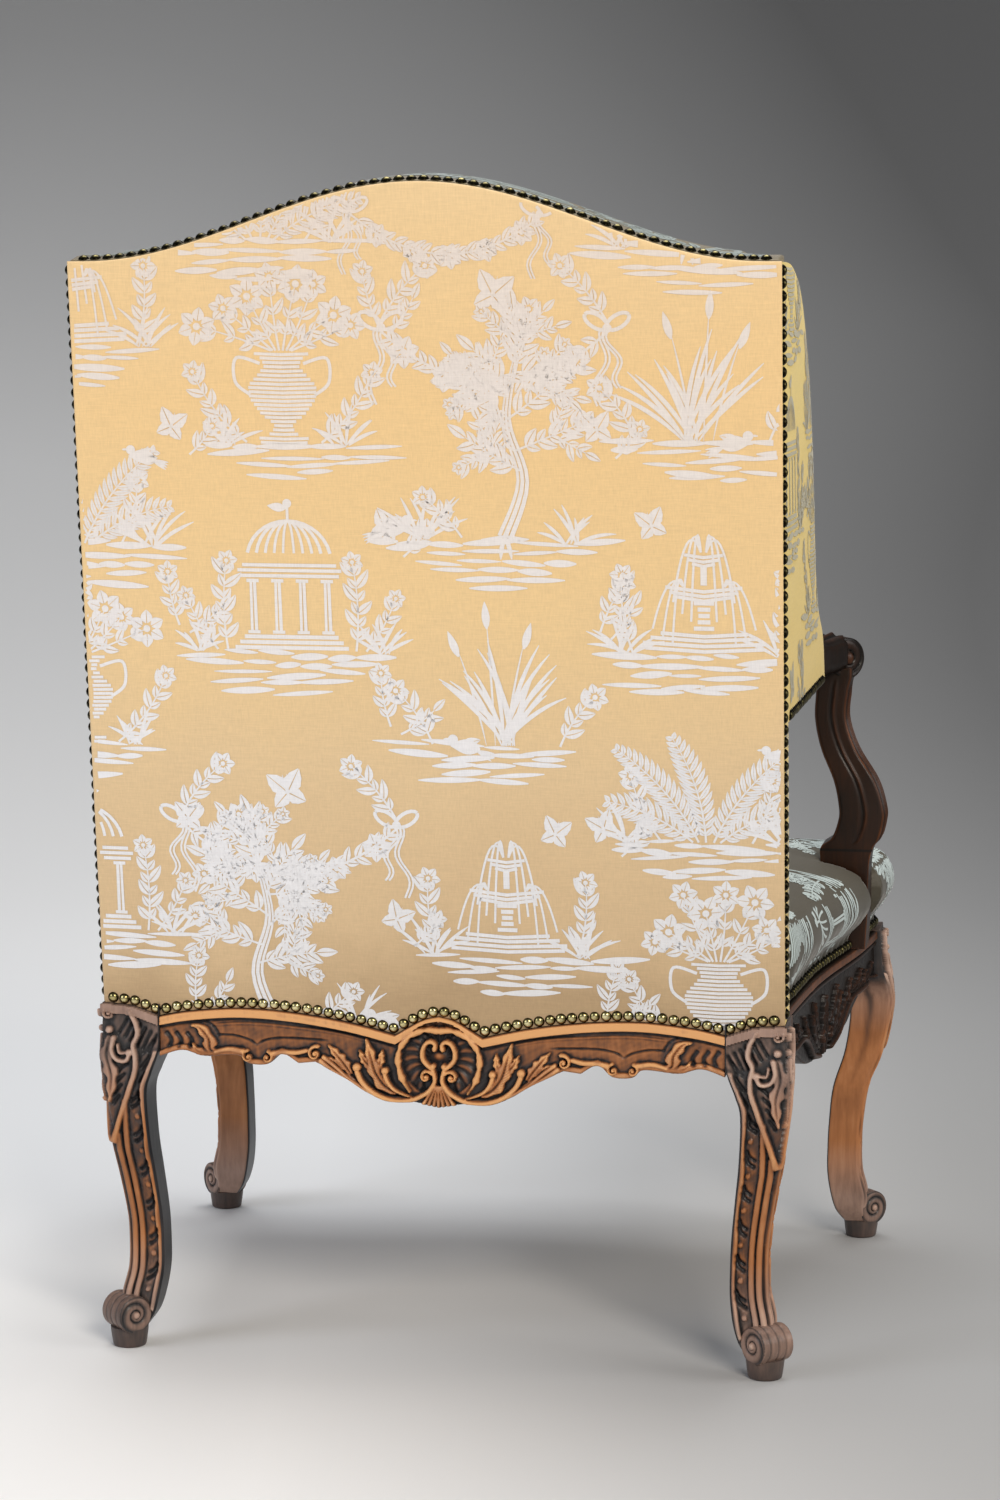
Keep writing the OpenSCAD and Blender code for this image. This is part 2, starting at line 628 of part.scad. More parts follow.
// Arms: a straight rail inside the wing, then a hand-hold that turns outwards and rolls over
support_y = -frame_depth + support_set_back;
scroll_r = arm_scroll_diameter / 2;
scroll_x = board_outer + 6;
scroll_y = support_y - 4;
scroll_z = arm_height - 5 + scroll_r;
arm_outer = board_outer;
arm_inner = arm_outer - arm_thickness;
module arm() {
    top = arm_height + arm_depth;
    front = scroll_y - 6;
    // In front of this the arm turns outwards, clear of the wing
    bend_y = scroll_y + 82;
    difference() {
        union() {
            intersection() {
                translate([0, 0, arm_height]) linear_extrude(arm_depth + 10) polygon(concat(
                    [[arm_outer, 60]],
                    smooth([[arm_outer, bend_y], [arm_outer + 3, scroll_y + 58],
                        [scroll_x + 12, scroll_y + 14], [scroll_x + 14, front]], 5),
                    [[scroll_x - 16, front - 8]],
                    smooth([[arm_inner + 12, front + 4], [arm_inner + 3, scroll_y + 44],
                        [arm_inner, bend_y]], 5),
                    [[arm_inner, 60]]));
                profile_yz(concat(
                    [[60, arm_height + 2], [60, top]],
                    smooth([[bend_y, top], [scroll_y + 46, top + 1], [scroll_y, top + 4],
                        [front - 10, top - 2]], 4),
                    [[front - 10, arm_height + 2]]), 0, front_half + 20);
            }
            translate([scroll_x, scroll_y, scroll_z]) rotate([0, 0, 45]) arm_scroll();
        }
        behind_posts();
    }
}
module arm_scroll() {
    half = arm_scroll_length / 2;
    rotate([0, 90, 0]) cylinder(r = scroll_r, h = arm_scroll_length, center = true, $fn = 48);
    for (side = [-1, 1])
        mirrored(side) translate([half - 1, 0, 0]) rotate([90, 0, 90]) scroll(scroll_r, 90, 520, -1, 3);
    // Reeds round the roll
    for (i = [-1:1])
        translate([arm_scroll_length / 4 * i - 2.5, 0, 0]) rotate([0, 90, 0])
            cylinder(r = scroll_r + 1.2, h = 5, $fn = 48);
}
module arm_left() color(walnut) placed() arm();
module arm_right() color(walnut) placed() mirror([1, 0, 0]) arm();

// Arm supports: stations of height, outer face and width across the chair, and of depth along it
support_foot_x = side_x(support_y) + 8;
support_top = scroll_z - scroll_r * 0.92;
support_height = support_top - rail_top;
function support_across(grow) = smooth([for (q = [
    [0, 0, 52], [0.14, 2, 53], [0.31, 3, 52], [0.375, 7, 56], [0.41, 0.75 * support_swell, 51],
    [0.47, support_swell, 49], [0.52, support_swell, 48], [0.62, 0.5 * support_swell, 45],
    [0.74, -0.7 * support_swell, 38], [0.85, -1.3 * support_swell, 34], [0.95, -1.2 * support_swell, 35],
    [1, -1.0 * support_swell, 40]])
    [rail_top + q[0] * support_height, support_foot_x + q[1] + grow, q[2] + 2 * grow]], 4);
function support_along(grow) = smooth([for (q = [
    [0, 0, 10], [0.2, 0, 6], [0.5, 6, 0], [0.78, 2, -4], [1, -2, 2]])
    [rail_top + q[0] * support_height, support_y + q[1], support_depth / 2 + q[2] / 2 + grow]], 5);
module support_blank(grow) {
    a = support_across(grow);
    b = support_along(grow);
    intersection() {
        profile_xz(concat([for (q = a) [q[1], q[0]]], reversed([for (q = a) [q[1] - q[2], q[0]]])),
            support_y - 60, support_y + 60);
        profile_yz(concat([for (q = b) [q[1] + q[2], q[0]]], reversed([for (q = b) [q[1] - q[2], q[0]]])),
            0, front_half + 60);
    }
}
module arm_support() {
    difference() {
        support_blank(0);
        arm();
    }
}
module arm_support_left() color(walnut) placed() arm_support();
module arm_support_right() color(walnut) placed() mirror([1, 0, 0]) arm_support();

// Upholstered forms: rings drawn in from an outline to a middle, each [swell, scale, height]
function pulled(q, c, s, out) = c + (q - c) * s * (1 + out / norm(q - c));
// An outline point may hold a third number, the share of the swell that it takes.
function swell_of(q) = len(q) > 2 ? q[2] : 1;
function dome_rings(outline, c, profile, inset, base) = [
    for (r = profile) for (q = outline)
        let (p = pulled([q[0], q[1]], c, r[1], r[0] * swell_of(q) - inset))
            [p[0], p[1], max(base, r[2] - inset)]
];
function dome_top(c, profile, inset) = [c[0], c[1], profile[len(profile) - 1][2] - inset];
module dome(outline, c, profile, inset, base) {
    n = len(outline);
    k = len(profile);
    faces = concat(
        [[for (i = [0:n - 1]) i]],
        [for (j = [0:k - 2]) for (i = [0:n - 1])
            [j * n + i, (j + 1) * n + i, (j + 1) * n + (i + 1) % n]],
        [for (j = [0:k - 2]) for (i = [0:n - 1])
            [j * n + i, (j + 1) * n + (i + 1) % n, j * n + (i + 1) % n]],
        [for (i = [0:n - 1]) [(k - 1) * n + i, k * n, (k - 1) * n + (i + 1) % n]]
    );
    polyhedron(concat(dome_rings(outline, c, profile, inset, base), [dome_top(c, profile, inset)]), faces);
}
// A cover is one skin: the outside form, the same form one thickness in, and the edge between their feet
module cover_over(outline, c, profile, base) {
    n = len(outline);
    k = len(profile);
    m = k * n + 1;
    points = concat(
        dome_rings(outline, c, profile, 0, base), [dome_top(c, profile, 0)],
        dome_rings(outline, c, profile, cover, base), [dome_top(c, profile, cover)]);
    faces = concat(
        [for (j = [0:k - 2]) for (i = [0:n - 1])
            [j * n + i, (j + 1) * n + i, (j + 1) * n + (i + 1) % n]],
        [for (j = [0:k - 2]) for (i = [0:n - 1])
            [j * n + i, (j + 1) * n + (i + 1) % n, j * n + (i + 1) % n]],
        [for (i = [0:n - 1]) [(k - 1) * n + i, k * n, (k - 1) * n + (i + 1) % n]],
        [for (j = [0:k - 2]) for (i = [0:n - 1])
            [m + j * n + i, m + (j + 1) * n + (i + 1) % n, m + (j + 1) * n + i]],
        [for (j = [0:k - 2]) for (i = [0:n - 1])
            [m + j * n + i, m + j * n + (i + 1) % n, m + (j + 1) * n + (i + 1) % n]],
        [for (i = [0:n - 1]) [m + (k - 1) * n + i, m + (k - 1) * n + (i + 1) % n, m + k * n]],
        [for (i = [0:n - 1]) [i, (i + 1) % n, m + (i + 1) % n]],
        [for (i = [0:n - 1]) [i, m + (i + 1) % n, m + i]]
    );
    polyhedron(points, faces);
}

// Seat outline, counter-clockwise from the middle of the back: X, Y and how much of the swell it takes
seat_rear_y = back_y(rail_top + 0.8 * seat_crown) - pad_plane - back_edge_padding - 0.45 * back_crown - 2;
front_corner_x = front_half - nail_ledge - 5;
front_corner_y = -frame_depth + nail_ledge + 4;
seat_half = smooth([
    [0, bow_y(0) + nail_ledge, 1], [0.45 * front_inner, bow_y(0.45 * front_inner) + nail_ledge, 1],
    [front_inner - 10, bow_y(front_inner - 10) + nail_ledge, 1], [front_corner_x - 14, front_corner_y, 0.9],
    [front_corner_x, front_corner_y + 16, 0.9],
    [side_x(side_front_y) - nail_ledge, side_front_y, 1],
    [side_x(-0.7 * frame_depth) - nail_ledge, -0.7 * frame_depth, 1],
    [side_x(-0.45 * frame_depth) - nail_ledge, -0.45 * frame_depth, 0.9],
    [side_x(seat_rear_y - 40) - nail_ledge, seat_rear_y - 40, 0.6],
    [post_inner + 16, seat_rear_y - 8, 0.1], [post_inner - 10, seat_rear_y, 0], [0, seat_rear_y, 0]], 2);
seat_outline = concat(seat_half, [for (i = [len(seat_half) - 2:-1:1])
    [-seat_half[i][0], seat_half[i][1], seat_half[i][2]]]);
seat_profile = [for (q = [
    [0, 1, 0.4], [1, 1, 16], [0.6 * seat_swell, 1, 32], [seat_swell, 1, 0.47 * seat_crown],
    [0.8 * seat_swell, 1, 0.66 * seat_crown], [0.1 * seat_swell, 1, 0.80 * seat_crown],
    [0, 0.90, 0.89 * seat_crown], [0, 0.72, 0.955 * seat_crown], [0, 0.4, 0.99 * seat_crown]])
    [q[0], q[1], rail_top + q[2]]];
seat_middle = [0, -0.55 * frame_depth];
seat_base = rail_top + web_thickness + hessian_thickness;
module support_notch() {
    b = support_along(soft_gap);
    a = support_across(soft_gap);
    for (side = [-1, 1])
        mirrored(side) intersection() {
            profile_yz(concat([for (q = b) [q[1] + q[2], q[0]]], reversed([for (q = b) [q[1] - q[2], q[0]]]),
                [[support_y - support_depth, rail_top - 1], [support_y + support_depth, rail_top - 1]]),
                0, front_half + 90);
            profile_xz(concat([[front_half + 80, rail_top - 20], [front_half + 80, support_top]],
                reversed([for (q = a) [q[1] - q[2], q[0]]]), [[a[0][1] - a[0][2], rail_top - 20]]),
                support_y - 90, support_y + 90);
        }
}
// Webbing lands this far on the rails, and one strip stands in front of the arm supports
web_landing = 8;
web_strips_y = concat(
    [for (i = [0:3]) seat_rear_y - 20 - web_width - i * 1.85 * web_width],
    [support_y - support_depth / 2 - 12 - web_width]);
module seat_webbing() color(black_webbing) placed() translate([0, 0, rail_top]) {
    for (i = [-2:2])
        let (x = i * 1.9 * web_width, front = bow_y(abs(x) + web_width / 2) + rail_thickness - web_landing)
            translate([x - web_width / 2, front, 0])
                cube([web_width, -3 - rail_thickness + web_landing - front, web_thickness]);
    for (y = web_strips_y)
        let (reach = side_x(y + web_width) - rail_thickness + web_landing)
            translate([-reach, y, 0]) cube([2 * reach, web_width, web_thickness]);
}
module seat_hessian() color(linen) placed() {
    translate([0, 0, rail_top + web_thickness]) difference() {
        linear_extrude(hessian_thickness)
            polygon([for (q = seat_outline) pulled([q[0], q[1]], seat_middle, 1, -8)]);
        translate([0, 0, -rail_top - web_thickness]) support_notch();
    }
}
module seat_stuffing() color(linen) placed() difference() {
    dome(seat_outline, seat_middle, seat_profile, cover + soft_gap, seat_base + soft_gap);
    support_notch();
}
// At the back the cover stops just above the webbing
module seat_cover() color(taupe_silk) placed() difference() {
    cover_over(seat_outline, seat_middle, seat_profile, rail_top + soft_gap);
    support_notch();
    webbing_half = 4.3 * web_width + soft_gap;
    translate([-webbing_half, seat_rear_y - 10, rail_top])
        cube([2 * webbing_half, 20, web_thickness + soft_gap]);
}

// Inside of the back, on the plane of the back, with X across and Y up: its layers from the posts forwards
pad_half = board_inner - wing_crown - 1;
pad_foot = 22;
// Its long edges bow out a little
side_bow = 0.4;
// Below the arms the padding widens to cover the posts
pad_widens = (arm_height - rail_top) / cos(recline) - 20;
pad_side = [
    [pad_half, 0.94 * shoulder_h], [pad_half + 0.7 * side_bow, 0.80 * shoulder_h],
    [pad_half + side_bow, 0.66 * shoulder_h], [pad_half + 0.8 * side_bow, 0.53 * shoulder_h],
    [pad_half, pad_widens], [pad_half + 10, 0.88 * pad_widens],
    [post_outer - 11, 0.72 * pad_widens], [post_outer - 2, 0.55 * pad_widens],
    [post_outer - 1, 0.36 * pad_widens], [post_outer - 1, pad_foot]
];
function back_pad_outline() = concat(
    [for (i = [0:24]) let (x = pad_half * (1 - i / 12)) [x, crest_h(x) - top_padding - 2 * soft_gap]],
    flipped(pad_side),
    [for (i = [-3:3]) [post_inner * i / 4, pad_foot - side_bow * (1 - pow(i / 4, 2))]],
    reversed(pad_side)
);
back_profile = [
    [0, 1, soft_gap], [0, 1, back_edge_padding - 10], [-5, 1, back_edge_padding - 2],
    [-16, 1, back_edge_padding + 2], [0, 0.86, back_edge_padding + 0.4 * back_crown],
    [0, 0.62, back_edge_padding + 0.85 * back_crown], [0, 0.3, back_edge_padding + back_crown]
];
pad_middle = [0, 0.52 * shoulder_h];
module on_pad_plane(lift = 0) {
    on_back() translate([0, -pad_plane - lift, 0]) rotate([90, 0, 0]) children();
}
module back_webbing() color(black_webbing) placed() on_back() {
    translate([0, -cover - post_depth, 0]) rotate([90, 0, 0]) {
        for (i = [-1:1])
            translate([i * 3.2 * web_width - web_width / 2, stuffing_rail_lift + 6, 0])
                cube([web_width, shoulder_h - top_padding - stuffing_rail_lift - 36, web_thickness]);
        for (i = [0:3])
            translate([-post_inner - 5, stuffing_rail_lift + 90 + i * 2.8 * web_width, 0])
                cube([2 * post_inner + 10, web_width, web_thickness]);
    }
}
module back_hessian() color(linen) placed() on_back() {
    translate([0, -cover - post_depth - web_thickness, 0]) rotate([90, 0, 0])
        linear_extrude(hessian_thickness) polygon(drawn_in(back_pad_outline(), pad_middle, 4));
}
module back_stuffing() color(linen) placed() on_pad_plane()
    dome(back_pad_outline(), pad_middle, back_profile, cover + soft_gap, soft_gap);
module inside_back_cover() color(gold_silk) placed() on_pad_plane()
    cover_over(back_pad_outline(), pad_middle, back_profile, soft_gap);
// The outside back is one taut panel, cut to the crest above and to the carved rail below
module outside_back_cover() color(gold_silk) placed() on_back() rotate([90, 0, 0])
    linear_extrude(cover) polygon(concat(
        reversed(crest_points(back_half, 0)),
        [for (i = [0:60]) let (x = back_half * (2 * i / 60 - 1)) [x, (crest_edge(x) + 0.4) / cos(recline)]]));

// Wings: hessian and padding inside the board, covers on both sides, and a border round the edge
function wing_field(inset) =
    let (edge = drawn_in(wing_edge(), wing_middle, inset), n = len(edge), foot = arm_height + arm_depth + 3)
        concat(
            [for (i = [3:n - 3]) if (edge[i][1] > foot) edge[i]],
            [for (i = [0:4]) let (y = back_y(foot) - wing_reach + 30 + i * (wing_reach - 95) / 4) [y, foot]],
            [for (i = [1:5]) let (z = foot + (shoulder_height - foot - 20) * i / 6)
                [back_y(z) - cover - post_depth - 4, z]]
        );
wing_profile = [
    [0, 1, 0], [0, 1, 0.3 * wing_crown], [-4, 1, 0.62 * wing_crown], [0, 0.84, 0.86 * wing_crown],
    [0, 0.5, wing_crown]
];
module on_wing(x) {
    translate([x, 0, 0]) mirror([1, 0, 0]) rotate([90, 0, 90]) children();
}
module wing_hessian() {
    difference() {
        profile_yz(concat(drawn_in(wing_edge(), wing_middle, 8), [[back_y(arm_height), arm_height]]),
            board_inner - hessian_thickness, board_inner);
        behind_posts(soft_gap);
        translate([0, -frame_depth - 60, 0])
            cube([front_half + 60, frame_depth + 200, arm_height + arm_depth + soft_gap]);
    }
}
// The padding of a wing keeps this far inside its edge
wing_edge_gap = 3;
wing_pad_x = board_inner - hessian_thickness - soft_gap;
module wing_stuffing() {
    on_wing(wing_pad_x) dome(wing_field(wing_edge_gap + 4), wing_middle, wing_profile, cover + soft_gap, 0);
}
module inside_wing_cover() {
    on_wing(wing_pad_x) cover_over(wing_field(wing_edge_gap), wing_middle, wing_profile, 0);
}
// Outer cover of a wing, and the strip below it that wraps the post down to the rail
module outside_wing_cover() {
    difference() {
        profile_yz(concat(wing_edge(), [[back_y(arm_height), arm_height]]), post_outer, back_half);
        on_back() translate([0, -cover, -50]) cube([front_half + 60, 60, shoulder_h + 150]);
    }
}
module post_cover() {
    low = rail_top + soft_gap;
    front_inner_x = post_inner + 6;
    intersection() {
        on_back() translate([0, 0, -20]) {
            translate([post_outer, -cover - post_depth - cover, 0])
                cube([cover, post_depth + cover, shoulder_h]);
            translate([front_inner_x, -cover - post_depth - cover, 0])
                cube([back_half - front_inner_x, cover, shoulder_h]);
        }
        translate([0, -frame_depth, low]) cube([front_half, frame_depth + 100, arm_height - soft_gap - low]);
    }
}
module wing_border() {
    edge = [for (q = wing_edge()) if (q[1] > arm_height + arm_depth) q];
    difference() {
        profile_yz(concat(edge, reversed(drawn_in(edge, wing_middle, cover - soft_gap))),
            wing_pad_x, post_outer);
        behind_posts(0.2);
    }
}
module wing_hessian_left() color(linen) placed() wing_hessian();
module wing_hessian_right() color(linen) placed() mirror([1, 0, 0]) wing_hessian();
module wing_stuffing_left() color(linen) placed() wing_stuffing();
module wing_stuffing_right() color(linen) placed() mirror([1, 0, 0]) wing_stuffing();
module inside_wing_cover_left() color(gold_silk) placed() inside_wing_cover();
module inside_wing_cover_right() color(gold_silk) placed() mirror([1, 0, 0]) inside_wing_cover();
module outside_wing_cover_left() color(gold_silk) placed() outside_wing_cover();
module outside_wing_cover_right() color(gold_silk) placed() mirror([1, 0, 0]) outside_wing_cover();
module post_cover_left() color(gold_silk) placed() post_cover();
module post_cover_right() color(gold_silk) placed() mirror([1, 0, 0]) post_cover();
module wing_border_left() color(gold_silk) placed() wing_border();
module wing_border_right() color(gold_silk) placed() mirror([1, 0, 0]) wing_border();

// Padded border over the top of the back. Over the posts it is as deep as they are.
// Between the wings it meets the inside cover.
border_half = post_outer - soft_gap;
module border_band(half, depth) {
    translate([0, -cover - soft_gap, 0]) rotate([90, 0, 0]) linear_extrude(depth) intersection() {
        polygon(concat(
            crest_points(border_half, -1),
            reversed(crest_points(border_half, top_padding - soft_gap))));
        translate([-half, 0]) square([2 * half, 2 * shoulder_h]);
    }
}
module top_border() color(gold_silk) placed() on_back() {
    border_band(border_half, post_depth - 2 * soft_gap);
    border_band(pad_half, pad_plane + back_edge_padding - 14);
}

// Heads of nails are the parts of balls that stand out of the surface that they are driven into
nail_sink = nail_diameter / 6;
module nail_balls(places) {
    for (p = places) translate(p) sphere(d = nail_diameter, $fn = 24);
}
// Places along x from the middle outwards, one pitch apart along the curve f
function steps(f, x, end, pitch) =
    x > end ? [] : concat([x], steps(f, x + pitch / sqrt(1 + pow(slope(f, x + pitch / 2), 2)), end, pitch));
function slope(f, x) = (f(x + 5) - f(x - 5)) / 10;
nail_lift = nail_diameter / 2 + 1;
// Middle of a nail's head in front of the outside face of the back
nail_row_y = -cover - nail_diameter / 2 - soft_gap;
module back_rail_nails() color(antique_brass) placed() on_back() difference() {
    xs = steps(function(x) crest_edge(x), nail_pitch / 2, back_half - 5, nail_pitch);
    for (side = [-1, 1])
        mirrored(side) nail_balls([for (x = xs) [x, -nail_sink, crest_edge(x) + nail_lift]]);
    translate([-rear_half, -20, -rail_web]) cube([rear_width, 20, 2 * rail_web]);
}
module post_nails(side) on_back() difference() {
    nail_balls([for (i = [0:floor((shoulder_h - 16) / edge_nail_pitch)])
        [side * (back_half - nail_sink), nail_row_y, 10 + i * edge_nail_pitch]]);
    translate([-back_half, -2 * post_depth, 0]) cube([2 * back_half, 2 * post_depth, 2 * shoulder_h]);
}
module post_nails_left() color(antique_brass) placed() post_nails(1);
module post_nails_right() color(antique_brass) placed() post_nails(-1);
module crest_nails() color(antique_brass) placed() on_back() difference() {
    xs = steps(function(x) crest_h(x), edge_nail_pitch / 2, post_outer - 6, edge_nail_pitch);
    for (side = [-1, 1])
        mirrored(side) nail_balls([for (x = xs)
            let (s = slope(function(t) crest_h(t), x), k = nail_sink / sqrt(1 + s * s))
                [x + s * k, nail_row_y, crest_h(x) + 1 - k]]);
    rotate([90, 0, 0]) linear_extrude(2 * post_depth)
        polygon(concat(crest_points(border_half, -1), [[border_half, 0], [-border_half, 0]]));
}
module wing_nails() color(antique_brass) placed() {
    rear = back_y(arm_height) - cover - post_depth - 8;
    n = floor((wing_reach - post_depth - cover - 40) / edge_nail_pitch);
    for (side = [-1, 1])
        mirrored(side) difference() {
            nail_balls([for (i = [0:n])
                [back_half - nail_sink, rear - i * edge_nail_pitch, arm_height + nail_lift]]);
            translate([0, -frame_depth, arm_height]) cube([back_half, 2 * frame_depth, 2 * arm_depth]);
        }
}
// Nails round the foot of the seat cover, on the front and the sides, clear of the arm supports
module seat_nail_run(from_y, to_y) difference() {
    for (side = [-1, 1])
        mirrored(side) nail_balls([for (w = rim_places(seat_rim, edge_nail_pitch / 2, 0, []))
            if (abs(w[0][1] - support_y) > support_depth / 2 + nail_diameter
                && w[0][1] > from_y && w[0][1] <= to_y)
                let (out = seat_rim_out - nail_sink)
                    [w[0][0] + out * sin(w[1]), w[0][1] - out * cos(w[1]), rail_top + nail_lift]]);
    translate([0, 0, rail_top]) linear_extrude(2 * nail_diameter)
        polygon([for (q = seat_outline) pulled([q[0], q[1]], seat_middle, 1, seat_rim_out)]);
}
seat_rim = [for (q = seat_half) [q[0], q[1]]];
// The seat cover stands out this far past its outline at the height of the nails
seat_rim_out = 1;
module seat_front_nails() color(antique_brass) placed()
    seat_nail_run(-frame_depth - front_bow, front_corner_y + 20);
module seat_side_nails() color(antique_brass) placed()
    seat_nail_run(front_corner_y + 20, seat_rear_y - 20);
// Places one pitch apart along a line, each with the angle of the line there
function rim_places(p, to_next, i, found) =
    i >= len(p) - 1 ? found :
    let (d = p[i + 1] - p[i], l = norm(d))
        to_next > l ? rim_places(p, to_next - l, i + 1, found) :
        let (q = p[i] + d * to_next / l)
            rim_places(concat([for (k = [0:len(p) - 1]) k == i ? q : p[k]]), edge_nail_pitch, i,
                concat(found, [[q, atan2(d[1], d[0])]]));

back_leg_left();
back_leg_right();
front_leg_left();
front_leg_right();
back_rail();
front_rail();
side_rail_left();
side_rail_right();
corner_blocks();
joint_pegs();
crest_rail();
stuffing_rail();
wing_board_left();
wing_board_right();
arm_left();
arm_right();
arm_support_left();
arm_support_right();
seat_webbing();
seat_hessian();
seat_stuffing();
seat_cover();
back_webbing();
back_hessian();
back_stuffing();
inside_back_cover();
outside_back_cover();
wing_hessian_left();
wing_hessian_right();
wing_stuffing_left();
wing_stuffing_right();
inside_wing_cover_left();
inside_wing_cover_right();
outside_wing_cover_left();
outside_wing_cover_right();
post_cover_left();
post_cover_right();
top_border();
wing_border_left();
wing_border_right();
back_rail_nails();
post_nails_left();
post_nails_right();
crest_nails();
wing_nails();
seat_front_nails();
seat_side_nails();
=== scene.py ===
import math

import bmesh
import bpy
import numpy as np
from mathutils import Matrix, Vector
from mathutils.bvhtree import BVHTree


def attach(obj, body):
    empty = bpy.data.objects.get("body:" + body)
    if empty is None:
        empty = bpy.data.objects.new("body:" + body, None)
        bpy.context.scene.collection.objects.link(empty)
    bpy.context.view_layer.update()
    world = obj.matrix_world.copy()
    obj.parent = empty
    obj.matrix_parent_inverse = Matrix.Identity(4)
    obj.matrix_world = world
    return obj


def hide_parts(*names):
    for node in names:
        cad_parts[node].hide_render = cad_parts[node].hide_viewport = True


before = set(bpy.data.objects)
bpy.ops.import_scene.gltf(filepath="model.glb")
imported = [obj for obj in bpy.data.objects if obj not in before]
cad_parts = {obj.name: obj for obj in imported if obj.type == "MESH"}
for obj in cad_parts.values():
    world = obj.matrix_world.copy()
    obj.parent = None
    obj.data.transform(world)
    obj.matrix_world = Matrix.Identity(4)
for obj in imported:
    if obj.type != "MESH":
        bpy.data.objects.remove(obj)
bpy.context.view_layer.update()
rng = np.random.default_rng(7)

# Sizes in millimetres, as in the CAD source: x across, y back from the front, z up
RAIL_TOP, REAR_HALF, FRONT_HALF, DEPTH = 355.0, 343.0, 388.0, 610.0
LEAN = math.radians(7.2)
BACK_HALF, POST_OUTER, POST_INNER = 341.0, 339.0, 303.0
SHOULDER, RISE, SPAN = 1088.0, 74.0, 650.0
BLOCK, RAIL_THICK = 60.0, 30
BACK_INNER, FRONT_INNER = REAR_HALF - BLOCK, FRONT_HALF - BLOCK
FRONT_FACE, BOW = -606.0, 14.0
ARM_Z, ARM_H = 650.0, 38.0
WING_REACH, WING_WAIST = 411.0, 275.0
SHOULDER_H = (SHOULDER - RAIL_TOP) / math.cos(LEAN)
# the seat's crown over the rails, and where the arm supports stand
CROWN, SUPPORT_Y = 108.0, -458.0
# the hand-hold's roll, and the scroll of a foot above its pad
ROLL, ROLL_RADIUS = np.array([345.0, -462.0, 667.0]), 22
PAD_HEIGHT, SCROLL_RADIUS = 17, 18.5
SCROLL_Z = PAD_HEIGHT - 1 + SCROLL_RADIUS
SUPPORT_HEIGHT = ROLL[2] - ROLL_RADIUS * 0.92 - RAIL_TOP
# the frame's origin is under the middle of the chair, and these sizes start at the rear legs
MIDDLE_Y = 271.026
SIDES = ((1, "left"), (-1, "right"))
# nails touch along the back rail, and are a little apart on the other edges
NAIL_PITCH, EDGE_PITCH = 11.1, 11.8


def smooth(points, n):
    """A curve through the points, n steps from each to the next."""
    p = np.asarray(points, float)
    out = []
    for i in range(len(p) - 1):
        a, b, c, d = p[max(i - 1, 0)], p[i], p[i + 1], p[min(i + 2, len(p) - 1)]
        for k in range(n):
            t = k / n
            square, cube = 2 * a - 5 * b + 4 * c - d, 3 * b - a - 3 * c + d
            out.append(0.5 * (2 * b + (c - a) * t + square * t * t + cube * t**3))
    return np.array(out + [p[-1]])


def unit(x):
    """x, kept between 0 and 1."""
    return np.clip(x, 0, 1)


def half_round(x):
    """1 in the middle, and down to 0 in a half circle at -1 and 1."""
    return np.sqrt(unit(1 - x**2))


def bell(x):
    """1 in the middle, and softly down to 0 on both sides."""
    return np.exp(-(x**2))


def directions(v):
    """Vectors, brought to a length of 1."""
    return v / np.linalg.norm(v, axis=-1, keepdims=True)


def run_along(p):
    """How far along a line each of its points is, seen from above."""
    return np.concatenate([[0], np.cumsum(np.linalg.norm(np.diff(p[:, :2], axis=0), axis=1))])


def rounded_off(d, r):
    """How far an edge of radius r falls back, at a distance d from it."""
    return r - np.sqrt(np.clip(r**2 - np.clip(r - d, 0, r) ** 2, 0, None))


def back_y(z):
    """Y of the back's outside face at a height."""
    return -4 + (z - RAIL_TOP) * math.tan(LEAN)


def on_back(x, h, out):
    """Points of the back: across, up the slope, and out of its outside face."""
    x, h, out = np.broadcast_arrays(np.asarray(x, float), h, out)
    c, s = math.cos(LEAN), math.sin(LEAN)
    return np.stack([x, -4 + out * c + h * s, RAIL_TOP - out * s + h * c], -1)


def crest_h(x):
    """Height of the back up its slope: an arched crest between level shoulders."""
    share = np.minimum(1, np.abs(x) / (SPAN / 2))
    return SHOULDER_H + RISE / math.cos(LEAN) * (0.5 + 0.5 * np.cos(np.pi * share))


def grid_faces(nu, nv, wrap_u=False, wrap_v=False):
    """The faces of a grid of points, closed round in either direction."""
    i = np.arange(nu if wrap_u else nu - 1)
    j = np.arange(nv if wrap_v else nv - 1)
    i, j = np.meshgrid(i, j, indexing="ij")
    i2, j2 = (i + 1) % nu, (j + 1) % nv
    return np.stack([i * nv + j, i2 * nv + j, i2 * nv + j2, i * nv + j2], -1).reshape(-1, 4)


